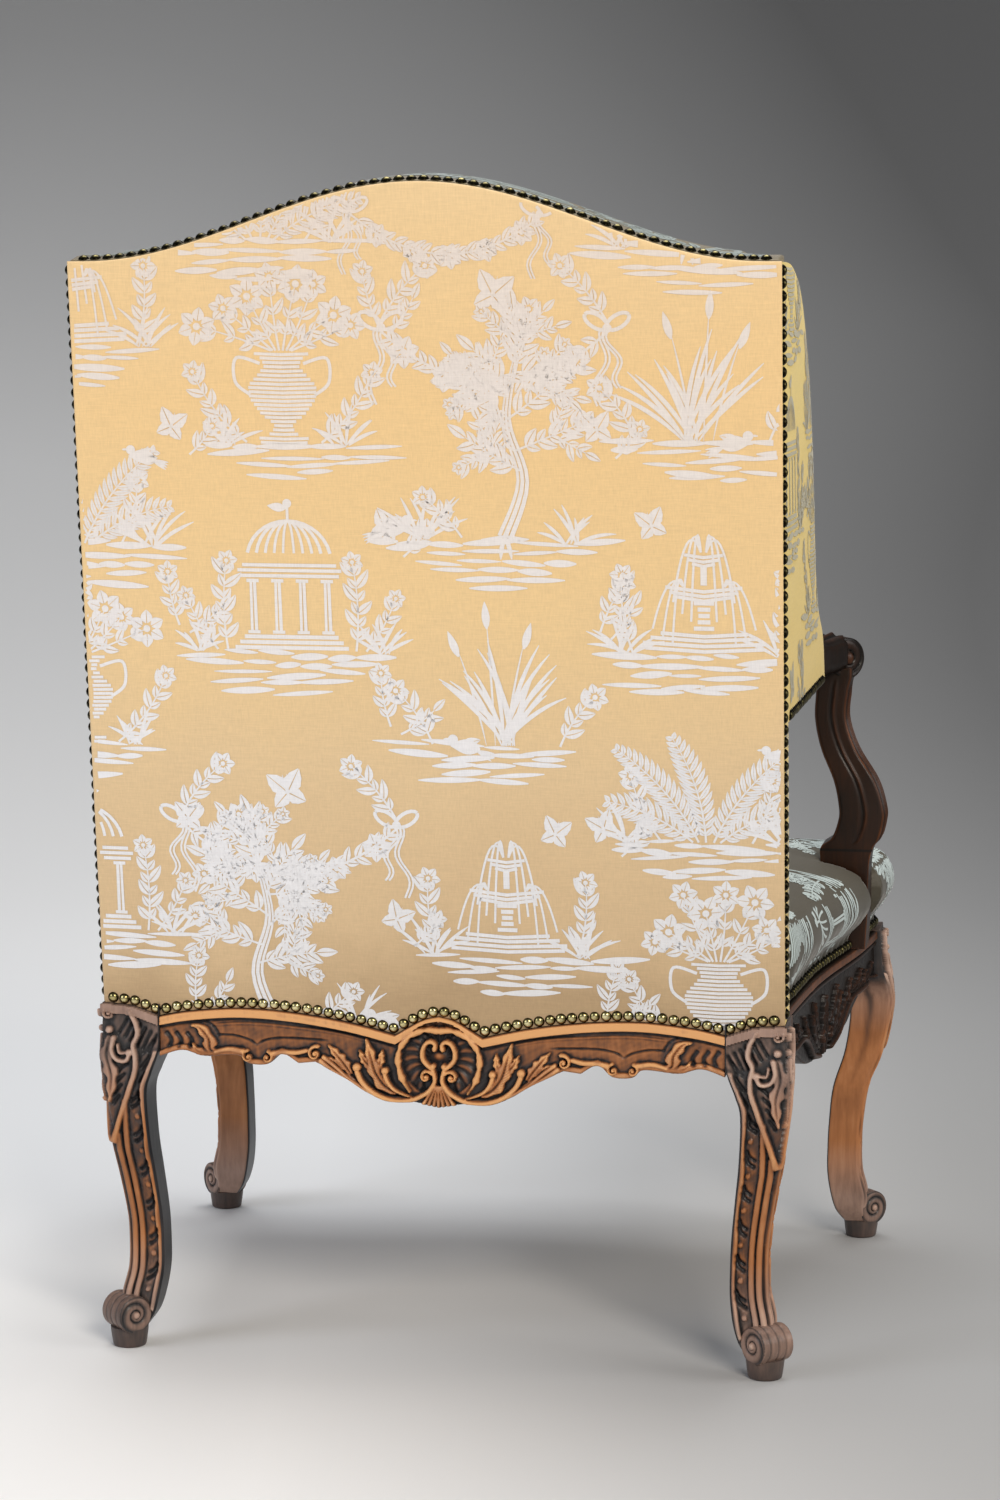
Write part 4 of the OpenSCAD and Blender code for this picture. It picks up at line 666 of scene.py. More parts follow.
def srgb(h):
    """A colour from its sRGB hex value."""
    c = [int(h[i:i + 2], 16) / 255 for i in (1, 3, 5)]
    return tuple(q / 12.92 if q <= 0.04045 else ((q + 0.055) / 1.055) ** 2.4 for q in c) + (1.0,)


def join(tree, to, inputs):
    """Sets a node's inputs to values, or to the nodes and sockets that feed them."""
    for name, value in inputs.items():
        if isinstance(value, bpy.types.Node):
            value = value.outputs[0]
        if isinstance(value, bpy.types.NodeSocket):
            tree.links.new(value, to.inputs[name])
        else:
            to.inputs[name].default_value = value


def node(tree, kind, inputs, stops=(), **settings):
    """Adds a node with its settings, its colour stops and its inputs."""
    new = tree.nodes.new("ShaderNode" + kind)
    for key, value in settings.items():
        setattr(new, key, value)
    # a ramp has two stops from the start
    for _ in stops[2:]:
        new.color_ramp.elements.new(0.5)
    for k, (position, colour) in enumerate(stops):
        new.color_ramp.elements[k].position = position
        new.color_ramp.elements[k].color = srgb(colour)
    join(tree, new, inputs)
    return new


def new_material(name, **values):
    """A material, its nodes, its surface with these values, and the place that patterns follow."""
    material = bpy.data.materials.new(name)
    material.use_nodes = True
    tree = material.node_tree
    surface = tree.nodes["Principled BSDF"]
    for key, value in values.items():
        surface.inputs[key.replace("_", " ")].default_value = value
    place = node(tree, "TexCoord", {}).outputs["Object"]
    return material, tree, surface, place


def carved_walnut(name, stops, coat=0.10, dust_and_sheen=False, blotches=0.30):
    """European walnut, cut with gouges, stained, waxed and rubbed by hands; the tone it reads also holds
    painted shade and painted highlight.
    """
    material, tree, surface, place = new_material(
        name, Roughness=0.40, Specular_IOR_Level=0.20, Coat_Weight=coat, Coat_Roughness=0.16)
    wear_and_painted_light = node(tree, "Attribute", {}, attribute_name="tone").outputs["Fac"]
    along = node(tree, "Mapping", {"Vector": place, "Scale": (1.0, 1.0, GRAIN_FLECK / GRAIN_LENGTH)})
    grain = node(tree, "TexNoise", {
        "Vector": along, "Scale": NOISE / GRAIN_FLECK, "Detail": 5.0, "Roughness": 0.6}).outputs["Fac"]
    stain = node(tree, "TexNoise", {
        "Vector": place, "Scale": NOISE / WAX_STAIN, "Detail": 3.0}).outputs["Fac"]
    flecks = node(tree, "Math", {0: grain, 1: 0.30, 2: -0.15}, operation="MULTIPLY_ADD")
    stains = node(tree, "Math", {0: stain, 1: blotches, 2: -blotches / 2}, operation="MULTIPLY_ADD")
    tone = node(tree, "Math", {0: wear_and_painted_light, 1: flecks})
    tone = node(tree, "Math", {0: tone, 1: stains})
    colour = node(tree, "ValToRGB", {"Fac": tone}, stops)
    if dust_and_sheen:
        # knees and feet are greyer than the shaft between them: partly dust in the wax, partly a painted
        # blue-grey sheen
        height = node(tree, "SeparateXYZ", {"Vector": place}).outputs["Z"]
        away = node(tree, "Math", {0: height, 1: SHAFT_MIDDLE}, operation="SUBTRACT")
        away = node(tree, "Math", {0: away}, operation="ABSOLUTE")
        dull = node(tree, "MapRange", {
            "Value": away, "From Min": 0.06, "From Max": 0.125, "To Min": 1.0, "To Max": 0.58})
        colour = node(tree, "HueSaturation", {"Color": colour, "Saturation": dull})
    bump = node(tree, "Bump", {"Strength": 0.25, "Distance": 0.0006, "Height": grain})
    join(tree, surface, {"Base Color": colour, "Normal": bump})
    return material


def planed_beech():
    """Beech as the plane left it."""
    material, tree, surface, place = new_material("beech", Roughness=0.62)
    along = node(tree, "Mapping", {"Vector": place, "Scale": (GRAIN_FLECK / GRAIN_LENGTH, 1.0, 1.0)})
    grain = node(tree, "TexNoise", {"Vector": along, "Scale": NOISE / GRAIN_FLECK, "Detail": 4.0})
    colour = node(tree, "ValToRGB", {"Fac": grain.outputs["Fac"]}, [(0.3, "#b08a5c"), (0.7, "#d3b183")])
    join(tree, surface, {"Base Color": colour})
    return material


def silk(name, stops, light, sheen=0.25, rough=0.5, lift=0.00012):
    """Silk damask off the loom: thin threads with thicker ones among them, and a colour for each height,
    which is painted light.
    """
    material, tree, surface, place = new_material(
        name, Roughness=rough, Sheen_Weight=sheen, Sheen_Roughness=0.35, Specular_IOR_Level=0.35)
    height = node(tree, "SeparateXYZ", {"Vector": place}).outputs["Z"]
    up = node(tree, "MapRange", {"Value": height, "From Min": light[0], "From Max": light[1]})
    mottle = node(tree, "TexNoise", {"Vector": place, "Scale": NOISE / SILK_MOTTLE, "Detail": 3.0})
    uneven = node(tree, "Math", {0: mottle.outputs["Fac"], 1: 0.16, 2: -0.08}, operation="MULTIPLY_ADD")
    at = node(tree, "Math", {0: up, 1: uneven})
    colour = node(tree, "ValToRGB", {"Fac": at}, stops)
    # thicker threads show as faint short lines along the weft and the warp
    slubs = []
    thick, long = NOISE / SLUB, NOISE / SLUB_LENGTH
    for stretch in ((long, long, thick), (thick, thick, long)):
        along = node(tree, "Mapping", {"Vector": place, "Scale": stretch})
        slub = node(tree, "TexNoise", {"Vector": along, "Scale": 1.0, "Detail": 2.0})
        slubs.append(slub.outputs["Fac"])
    both_ways = node(tree, "Math", {0: slubs[0], 1: slubs[1]})
    bright = node(tree, "Math", {0: both_ways, 1: 0.18, 2: 0.82}, operation="MULTIPLY_ADD")
    colour = node(tree, "HueSaturation", {"Color": colour, "Value": bright})
    # threads are 0.45 mm apart, and are drawn twice as coarse to show
    threads = []
    for direction in ("Z", "X"):
        wave = node(tree, "TexWave", {"Vector": place, "Scale": WAVE / SILK_THREAD, "Distortion": 0.4},
                    bands_direction=direction)
        threads.append(wave.outputs["Fac"])
    woven = node(tree, "Math", {0: threads[0], 1: threads[1]}, operation="MAXIMUM")
    bump = node(tree, "Bump", {"Strength": 0.35, "Distance": lift, "Height": woven})
    join(tree, surface, {"Base Color": colour, "Normal": bump})
    return material


def antique_brass():
    """Brass pressed into domed heads, darkened in a bath and rubbed bright on top; the tone it reads also
    holds a painted highlight on the crown and painted shade towards the rim.
    """
    material, tree, surface, place = new_material("antique_brass_nail", Metallic=1.0, Roughness=0.25)
    wear_and_painted_light = node(tree, "Attribute", {}, attribute_name="tone").outputs["Fac"]
    spots = node(tree, "TexNoise", {"Vector": place, "Scale": NOISE / TARNISH, "Detail": 2.0})
    stains = node(tree, "Math", {0: spots.outputs["Fac"], 1: 0.5, 2: -0.25}, operation="MULTIPLY_ADD")
    tone = node(tree, "Math", {0: wear_and_painted_light, 1: stains})
    colour = node(tree, "ValToRGB", {"Fac": tone}, [
        (0.05, "#1d1a10"), (0.38, "#5f5735"), (0.72, "#a99d6b"), (1.0, "#e2d7a8")])
    join(tree, surface, {"Base Color": colour})
    return material


def jute_weave(name, dark, light, yarn):
    """Spun jute in a plain weave, undyed, as webbing or as hessian."""
    material, tree, surface, place = new_material(name, Roughness=0.85)
    yarns = []
    for direction in ("X", "DIAGONAL"):
        wave = node(tree, "TexWave", {"Vector": place, "Scale": WAVE / yarn, "Distortion": 1.0},
                    bands_direction=direction)
        yarns.append(wave.outputs["Fac"])
    woven = node(tree, "Math", {0: yarns[0], 1: yarns[1]}, operation="MULTIPLY")
    colour = node(tree, "ValToRGB", {"Fac": woven}, [(0.1, dark), (0.7, light)])
    bump = node(tree, "Bump", {"Strength": 0.4, "Distance": 0.0004, "Height": woven})
    join(tree, surface, {"Base Color": colour, "Normal": bump})
    return material


# Wax and dirt stay black in the cuts, and ridges are rubbed through the stain to orange brown; the darkest
# cuts and the brightest ridges also carry painted shade and painted highlight, and the blue-grey in the cuts
# is a painted reflection
WAXED = [(0.06, "#15161a"), (0.27, "#383536"), (0.43, "#5d4132"), (0.57, "#875736"), (0.74, "#ab7147"),
         (0.90, "#bf8a60"), (1.0, "#dba36c")]
# Painted shade: the rails' walnut painted near black, with only its edges brown
SHADED = [(0.06, "#0b0908"), (0.27, "#19110c"), (0.43, "#2d190d"), (0.57, "#452714"), (0.74, "#7a4826"),
        (0.96, "#b07c50")]
# Waxed walnut of the front and back rails: warm brown with a low shine
walnut = carved_walnut("carved_walnut", WAXED)
# Waxed walnut of the legs: the same, blotched, and greyer at the knees and feet, partly from dust and partly
# as a painted blue-grey sheen
leg_walnut = carved_walnut("leg_walnut", WAXED, dust_and_sheen=True, blotches=0.42)
# The arms, their supports and the side rails: walnut painted near black as painted shade, with a little more
# shine
shaded_walnut = carved_walnut("shaded_walnut", SHADED, 0.12)
# Planed beech of the inner frame: pale and dull, with short flecks
beech = planed_beech()
# Gold silk damask over the outside of the back: cream gold, painted deeper and duller towards the rail and
# brighter towards the crest, as painted shade and painted light
gold = silk("gold_silk", [(0.0, "#b39874"), (0.10, "#d0b48c"), (0.30, "#dcc095"), (0.50, "#e8c893"),
                          (0.75, "#ebc890"), (1.0, "#e9ca98")], BACK_LIGHT)
# The back's gold silk damask over the outside of the wings, painted clearer and yellower than on the back,
# and lighter towards the top: painted light
lit_wing_gold = silk("wing_silk_lit", [(0.0, "#eccb66"), (1.0, "#fbde7a")], WING_LIGHT)
# Taupe silk damask over the seat: dark grey brown, painted a little lighter higher up as painted light
taupe = silk("seat_silk", [(0.0, "#3d3a2f"), (1.0, "#585245")], SEAT_LIGHT)
# The same taupe silk on the inside of the back and wings, painted lighter upwards as painted light
inner_silk = silk("inner_silk", [(0.0, "#585245"), (1.0, "#75694f")], PAD_LIGHT)
# Antiqued brass of the nails: olive in the dips, pale gold on the crown of each head; the rubbed crown is
# real, and its brightest part and the dark rim are painted highlight and painted shade
brass_nail = antique_brass()
# Jute webbing: coarse grey brown
jute = jute_weave("webbing", "#3a342c", "#7d715f", JUTE_YARN)
# Jute hessian: open and straw coloured
hessian = jute_weave("hessian", "#7d6847", "#bda57c", HESSIAN_YARN)

# Carved rails
xs = np.linspace(-BACK_INNER, BACK_INNER, 640)
crest_pts, _ = crest_line(BACK_INNER)
foot_pts = foot_line(BACK_INNER)
rail = carved_rail("back_rail", xs, np.interp(np.abs(xs), foot_pts[:, 0], foot_pts[:, 1]),
                   np.interp(np.abs(xs), crest_pts[:, 0], crest_pts[:, 1]),
                   lambda X, Z: rail_relief(X, Z, True),
                   lambda X, Z, out: np.stack([X, -3 + out, RAIL_TOP + Z], -1), rebate=7, painted_light=1.09)
rail.make(walnut, "carved_walnut")


def front_relief(X, Z):
    """The back rail's carving, spaced out to the wider front rail."""
    a = np.abs(X)
    k = np.where(a < 110, a, 110 + (a - 110) * (BACK_INNER - 110) / (FRONT_INNER - 110))
    return rail_relief(np.sign(X) * k, Z, False)


xs = np.linspace(-FRONT_INNER, FRONT_INNER, 520)
foot_pts = foot_line(FRONT_INNER)
foot = np.interp(np.abs(xs), foot_pts[:, 0], foot_pts[:, 1])
rail = carved_rail("front_rail", xs, foot, 0 * xs, front_relief,
                   lambda X, Z, out: np.stack([X, bow_y(X) - out, RAIL_TOP + Z], -1), rebate=0)
rail.make(walnut, "carved_walnut")


def side_relief(V, Z):
    """Carving of a side rail: V runs from its middle along it."""
    U = np.abs(V)
    r = Relief(U, Z)
    r.H += hand_cut(V, Z, 0.2) - 1.2
    d = -Z
    r.raise_to(2.4 * unit((d + 0.5) / 1.2) * unit((10 - d) / 1.0))
    r.raise_to(1.3 * half_round((d - 14) / 2.2))
    r.leaf([[0, -88], [1, -60], [0, -26]], 24, 5.0, lobes=5)
    r.volute(15, -70, 10, 150, 1.6, -1, 5.0)
    for pts, w, h in (
            ([[20, -78], [40, -66], [70, -34]], 13, 4.8),
            ([[24, -60], [40, -46], [54, -24]], 11, 4.4),
            ([[34, -80], [64, -66], [92, -46]], 11, 4.2),
            ([[70, -62], [96, -46], [112, -28]], 10, 4.0),
            ([[116, -44], [138, -40], [158, -26]], 11, 4.2),
            ([[128, -50], [160, -44], [186, -32]], 9, 3.6),
            ([[172, -46], [196, -42], [222, -30]], 10, 3.8)):
        r.leaf(pts, w, h, lobes=5)
    r.volute(102, -50, 8, 110, 1.5, 1, 4.2)
    r.volute(166, -40, 6.5, 60, 1.4, -1, 3.8)
    stem = smooth([[26, -86], [60, -78], [92, -58], [120, -50], [160, -50], [200, -50], [240, -50]], 6)
    r.ridge(stem, 6.0, 4.4)
    return r.sink()


ys = np.linspace(-BLOCK, -DEPTH + BLOCK, 460)
span = DEPTH - 2 * BLOCK
low = smooth([[-BLOCK - p * span, -50 + q] for p, q in (
    (0, -3), (.07, 3), (.20, -10), (.34, -34), (.5, -40), (.66, -34), (.80, -10), (.93, 3), (1, -3))], 6)
low = np.interp(-ys, -low[:, 0], low[:, 1])
# the side rails are scaled darker and take the near-black walnut: painted shade
for side, name in SIDES:
    rail = carved_rail("side_rail_" + name, ys, low, 0 * ys, lambda Y, Z: side_relief(Y + DEPTH / 2, Z),
                       lambda Y, Z, out: np.stack([side_x(Y) + out, Y, RAIL_TOP + Z], -1), rebate=0, painted_light=0.48)
    rail.make(shaded_walnut, "carved_walnut", side)


# Legs, the rear ones with their posts
def post_box():
    """Rings of the leaning post over a rear leg."""
    hs = np.concatenate([[-30], np.linspace(0, SHOULDER_H - 8, 40)])
    loop, _ = rounded_loop(POST_INNER, POST_OUTER, -42, -2, 1.5, (6, 6, 6, 6), 3)
    return np.array([on_back(loop[:, 0], h, loop[:, 1]) for h in hs])


for side, name in SIDES:
    leg = Piece("back_leg_" + name)
    leg_parts(leg, (REAR_HALF, 0), 1, 0, True)
    g = post_box()
    leg.grid(g, 0.40, wrap_v=True)
    leg.cap(g[-1], facing=(0, 0, 1), tone=0.4)
    leg.make(leg_walnut, "carved_walnut", side)
    leg = Piece("front_leg_" + name)
    leg_parts(leg, (FRONT_HALF, -DEPTH), -1, 11, False)
    leg.make(leg_walnut, "carved_walnut", side)

# Arms and their supports
arm_outer_pts = np.vstack([[[339, 40]], smooth([(339, -380), (342, -404), (357, -448), (359, -468)], 10)])
arm_inner_pts = np.vstack([[[309, 40]], smooth([(309, -380), (312, -418), (321, -464)], 10)])
arm_top_pts = np.vstack([[[40, 688]], smooth([(-380, 688), (-416, 689), (-462, 692), (-478, 686)], 8)])


def arm_piece(name):
    """An arm: a plain bar in front of the post, and a carved hand-hold with a roll."""
    y = np.concatenate([np.linspace(-20, -380, 60), np.linspace(-384, -462, 40)])
    o = np.interp(-y, -arm_outer_pts[:, 1], arm_outer_pts[:, 0])
    i = np.interp(-y, -arm_inner_pts[:, 1], arm_inner_pts[:, 0])
    t = np.interp(-y, -arm_top_pts[:, 0], arm_top_pts[:, 1])
    loops, tones = [], []
    for k in range(len(y)):
        end = unit((-y[k] - 385) / 30)
        loop, nrm = rounded_loop(i[k], o[k], 652, t[k], 4.5 + 8.5 * end, (26, 14, 10, 14), 6)
        # a carved leaf lies along the top of the hand-hold
        u = (loop[:, 0] - 0.5 * (i[k] + o[k])) / (0.5 * (o[k] - i[k]))
        s = (-y[k] - 392) / 70
        top = nrm[:, 1] > 0.5
        rib = 2.2 * np.cos(u * 4.2 * np.pi * (1 - 0.25 * s)) * end * top * unit(1.15 - np.abs(u))
        shift = nrm * rib[:, None]
        yy = np.full(len(loop), y[k])
        if y[k] < -380:
            yy = y[k] + (loop[:, 0] - 333) * 0.6 * (-y[k] - 380) / 82
        loops.append(np.stack([loop[:, 0] + shift[:, 0], yy, loop[:, 1] + shift[:, 1]], -1))
        # the hand-hold is painted darker towards its end: painted shade
        tones.append(0.36 + 0.10 * rib - 0.08 * end)
    p = Piece(name, loops, tones)
    volute_drum(p, ROLL, (math.sqrt(.5), -math.sqrt(.5), 0), ROLL_RADIUS, 21, 90, -1, eye=0.3, painted_light=0.66)
    return p


support_foot = float(side_x(SUPPORT_Y)) + 8


def support_piece(name):
    """An arm support: a square foot in the seat, and a ribbed baluster that swells out and sweeps in."""
    # share of the height, how far out the outer side stands, and the width there
    sw = 18
    across = smooth([
        [0, 0, 52], [.14, 2, 53], [.31, 3, 52], [.375, 7, 56], [.41, .75 * sw, 51], [.47, sw, 49],
        [.52, sw, 48], [.62, .5 * sw, 45], [.74, -.7 * sw, 38], [.85, -1.3 * sw, 34],
        [.95, -1.2 * sw, 35], [1, -sw, 40]], 8)
    # share of the height, how far back the middle stands, and what is added to the depth of 40 mm
    along = smooth([[0, 0, 10], [.2, 0, 6], [.5, 6, 0], [.78, 2, -4], [1, -2, 2]], 8)
    zs = np.concatenate([np.linspace(0, 0.36, 40), np.linspace(0.365, 1.035, 170)])
    loops, tones = [], []
    for t in zs:
        tt = min(t, 1)
        xo = support_foot + np.interp(tt, across[:, 0], across[:, 1])
        w = np.interp(tt, across[:, 0], across[:, 2])
        yc = SUPPORT_Y + np.interp(tt, along[:, 0], along[:, 1])
        half = 20 + np.interp(tt, along[:, 0], along[:, 2]) / 2
        r = 1.5 + 2.5 * min(1, max(0, (t - 0.36) * 20))
        loop, nrm = rounded_loop(xo - w, xo, yc - half, yc + half, r, (40, 40, 8, 40), 5)
        carved = min(1, max(0, (t - 0.385) * 30)) * min(1, max(0, (1.0 - t) * 14))
        h = np.zeros(len(loop))
        # ribs on the outer side, an arris line on the rear and front faces
        on_out = nrm[:, 0] > 0.9
        v = (loop[:, 1] - yc) / half
        rib = sum(1.9 * bell((v - g) * half / 1.7) - 1.1 * bell(((v - g) * half - 3.6) / 1.5)
                  for g in (-.55, 0, .55))
        h[on_out] += rib[on_out]
        on_y = np.abs(nrm[:, 1]) > 0.9
        u = (loop[:, 0] - xo) / w
        line = 1.2 * bell((u + 0.40) * w / 1.8) - 0.9 * bell(((u + 0.40) * w + 3.2) / 1.8)
        h[on_y] += line[on_y]
        corner = (np.abs(nrm[:, 0]) < 0.9) & (np.abs(nrm[:, 1]) < 0.9)
        h *= carved
        z = np.full(len(loop), RAIL_TOP + t * SUPPORT_HEIGHT)
        loops.append(np.stack([loop[:, 0] + nrm[:, 0] * h, loop[:, 1] + nrm[:, 1] * h, z], -1))
        tones.append(0.37 + 0.12 * h + 0.20 * corner + 0.02 * np.sin(9 * t))
    # the seam above the square foot is dark
    seam = (np.abs(zs - 0.368) < 0.004)[:, None]
    return Piece(name, loops, np.where(seam, 0.18, tones))


for side, name in SIDES:
    arm_piece("arm_" + name).make(shaded_walnut, "carved_walnut", side)
    support_piece("arm_support_" + name).make(shaded_walnut, "carved_walnut", side)

# Padded pieces
out_dir = on_back(0, 0, 1) - on_back(0, 0, 0)
up_dir = on_back(0, 1, 0) - on_back(0, 0, 0)
# how far the back's padding lies behind the outside cover
PAD_PLANE = 45.5


def pulled(q, c, s, out):
    """Points drawn towards c by a share, then pushed out by some millimetres."""
    d = q - c
    return c + d * s * (1 + out / np.linalg.norm(d, axis=-1, keepdims=True))


def resample(p, step, closed=False):
    """A line with points at even steps."""
    p = np.asarray(p, float)
    if closed:
        p = np.vstack([p, p[:1]])
    run = run_along(p)
    n = max(2, int(round(run[-1] / step)))
    t = np.linspace(0, run[-1], n + 1)
    q = np.stack([np.interp(t, run, p[:, k]) for k in range(p.shape[1])], 1)
    return q[:-1] if closed else q


def dome_rings(outline, centre, profile, steps):
    """Rings of a padded form, from the middle of its underside to the middle of its top."""
    o = np.asarray(outline, float)
    share = o[:, 2:3] if o.shape[1] > 2 else np.ones((len(o), 1))
    c = np.asarray(centre, float)
    prof = smooth(profile, steps)
    base = prof[0, 2]
    prof = np.vstack([[[0, s, base] for s in (0.02, 0.3, 0.6, 0.9, 0.985)], prof,
                      [[0, s, prof[-1, 2]] for s in (0.75 * prof[-1, 1], 0.4 * prof[-1, 1], 0.02)]])
    # the rings lose the corners of the outline towards the middle, so that the form has no creases
    wave = np.fft.fft(o[:, 0] + 1j * o[:, 1])
    order = np.abs(np.fft.fftfreq(len(o), 1 / len(o)))
    rings = []
    for k, (w, s, h) in enumerate(prof):
        keep = bell(order / (3 + 40 * max(0.0, s - 0.55) / 0.45)) if s < 1 and k > 5 else np.ones(len(o))
        keep[0] = 1
        z = np.fft.ifft(wave * keep)
        q = np.stack([z.real, z.imag], 1) if s < 1 else o[:, :2]
        rings.append(np.column_stack([pulled(q, c, s, w * share), np.full(len(o), h)]))
    return np.array(rings)


def clear_of_support(P, gap=0.8):
    """Presses a padded form in round the arm supports."""
    w = np.interp((P[..., 2] - RAIL_TOP) / SUPPORT_HEIGHT, [0, .14, .31, .375, .41], [52, 51, 49, 49, 37.5])
    inner = support_foot - w - gap
    d = np.abs(P[..., 1] - SUPPORT_Y) - 25.5
    k = unit(1 - d / 7)
    k = k * k * (3 - 2 * k)
    x = np.abs(P[..., 0])
    P[..., 0] = np.sign(P[..., 0]) * np.where(x > inner, x + (inner - x) * k, x)
    return P


def soft_noise(P, size, amount):
    """The unevenness of hand-laid stuffing."""
    a, b, c = np.moveaxis(P / size, -1, 0)
    return amount * (np.sin(a * 2.1 + 1.7 * np.sin(b * 1.3 + c)) * np.cos(b * 1.7 - c * 1.9)
                     + 0.5 * np.sin(c * 3.1 + a * 2.3))


# Seat: half its outline on the rails, and how much of the padding's bulge each point has
NAIL_LINE, SEAT_STEP, GATHER = 5.0, 4.2, 23.6
side_front_y = -DEPTH + BLOCK
seat_rear = back_y(RAIL_TOP + 0.8 * CROWN) - PAD_PLANE - 26 - 0.45 * 30 - 2
corner_x, corner_y = FRONT_HALF - NAIL_LINE - 5, -DEPTH + NAIL_LINE + 4
seat_half = [[x, bow_y(x) + NAIL_LINE, 1] for x in (0, 0.45 * FRONT_INNER, FRONT_INNER - 10)]
seat_half += [[corner_x - 14, corner_y, 0.9], [corner_x, corner_y + 16, 0.9]]
seat_half += [[side_x(y) - NAIL_LINE, y, share] for y, share in (
    (side_front_y, 1), (-0.7 * DEPTH, 1), (-0.45 * DEPTH, 0.9), (seat_rear - 40, 0.6))]
seat_half += [[POST_INNER + 16, seat_rear - 8, 0.1], [POST_INNER - 10, seat_rear, 0], [0, seat_rear, 0]]
seat_half = resample(smooth(seat_half, 12), SEAT_STEP)
seat_outline = np.vstack([seat_half, (seat_half * [-1, 1, 1])[-2:0:-1]])
SEAT_MIDDLE = (0, -0.55 * DEPTH)
# push outwards, share of the outline, and height, from the nails to the crown
seat_profile = [[0, 1, 0.5], [1, 1, 16], [15, 1, 32]]
seat_profile += [[push, share, height * CROWN] for push, share, height in (
    (25, 1, 0.47), (20, 1, 0.66), (2.5, 1, 0.80), (0, 0.90, 0.89), (0, 0.72, 0.955), (0, 0.4, 0.99))]
seat_rings = dome_rings(seat_outline, SEAT_MIDDLE, seat_profile, 6)
seat_rings[..., 2] += RAIL_TOP
seat_rings[:5, :, 2] += 4.5


def seat_finish(P):
    """Gathers above the nails, soft unevenness, and two folded corners."""
    P = clear_of_support(P.copy())
    h = P[..., 2] - RAIL_TOP
    run = np.arange(P.shape[1]) * SEAT_STEP
    wall = unit(h / 10) * unit((55 - h) / 45)
    d = P[..., :2] - np.array(SEAT_MIDDLE)
    d = directions(d)
    push = 0.8 * wall * np.sin(run * 2 * np.pi / GATHER)[None] + soft_noise(P, 46, 0.7) * unit(h / 30)
    for s in (-1, 1):
        for k, (ax, ay) in enumerate(((corner_x - 2, corner_y + 5), (corner_x - 17, corner_y - 2))):
            q = np.hypot(P[..., 0] - s * (ax + 12 * wall), P[..., 1] - (ay - 12 * wall))
            push -= (3.2 - k) * bell(q / 4.5) * unit(h / 6) * unit((78 - h) / 30)
    P[..., 0] += d[..., 0] * push
    P[..., 1] += d[..., 1] * push
    return P


seat_grid = seat_finish(seat_rings)


def padded_piece(name, rings, material, side=1, replaces=None):
    """A firmly stuffed form under the seat's silk."""
    ob = Piece(name, rings).make(material, "seat_silk", side, replaces)


padded_piece("seat_cushion", seat_grid, taupe, replaces=("seat_cover", "seat_stuffing"))

# Inside of the back: it narrows between the posts and widens over the arms' foot
PAD_HALF, PAD_FOOT, WIDENS = 302.0, 22.0, 295 / math.cos(LEAN) - 20
pad_side = [[PAD_HALF, crest_h(PAD_HALF) - 8.6]]
pad_side += [[PAD_HALF + more, share * SHOULDER_H] for more, share in (
    (0, .94), (.3, .80), (.4, .66), (.3, .53))]
pad_side += [[x, share * WIDENS] for x, share in (
    (PAD_HALF, 1), (PAD_HALF + 10, .88), (POST_OUTER - 11, .72),
    (POST_OUTER - 2, .55), (POST_OUTER - 1, .36))]
pad_side = smooth(pad_side + [[POST_OUTER - 1, PAD_FOOT]], 10)
tx = np.linspace(PAD_HALF, -PAD_HALF, 100)
pad_foot = np.stack([np.linspace(-POST_OUTER + 12, POST_OUTER - 12, 40), np.full(40, PAD_FOOT)], 1)
pad_top = np.stack([tx, crest_h(tx) - 8.6], 1)
pad_outline = np.vstack([pad_top, (pad_side * [-1, 1])[1:], pad_foot, pad_side[:0:-1]])
pad_outline = resample(pad_outline, 7, closed=True)
PAD_MIDDLE = np.array([0, .52 * SHOULDER_H])
pad_profile = [[0, 1, .3], [0, 1, 16], [-4, 1, 23], [-14, 1, 28], [0, .90, 34], [0, .76, 44.5], [0, .62, 51],
               [0, .45, 54.6], [0, .25, 56]]
pad_rings = dome_rings(pad_outline, PAD_MIDDLE, pad_profile, 5)
pad_rings[..., 2] += soft_noise(pad_rings, 60, 0.8) * unit(pad_rings[..., 2] / 20)
pad_grid = on_back(pad_rings[..., 0], pad_rings[..., 1], -(PAD_PLANE + pad_rings[..., 2]))
padded_piece("inside_back", pad_grid, inner_silk, replaces=("inside_back_cover", "back_stuffing"))

# Wings: their edge, from the shoulder down to the arm
wing_depth = [(SHOULDER - down, share * WING_WAIST) for down, share in (
    (0, 0), (5, .35), (34, .65), (97, .87), (165, 1))]
wing_depth += [(z, WING_WAIST + share * (WING_REACH - WING_WAIST)) for z, share in (
    (SHOULDER - 247, .18), (ARM_Z + 125, .29), (ARM_Z + 83, .49), (ARM_Z + 50, .84), (ARM_Z, 1))]
wing_edge = smooth([(back_y(z) - d, z) for z, d in wing_depth], 12)
WING_MIDDLE = np.array([back_y(ARM_Z + 150) - .45 * WING_WAIST, ARM_Z + 150])


def drawn_in(p, middle, d):
    """Points moved towards the middle."""
    v = middle - p
    return p + v * d / np.linalg.norm(v, axis=1, keepdims=True)


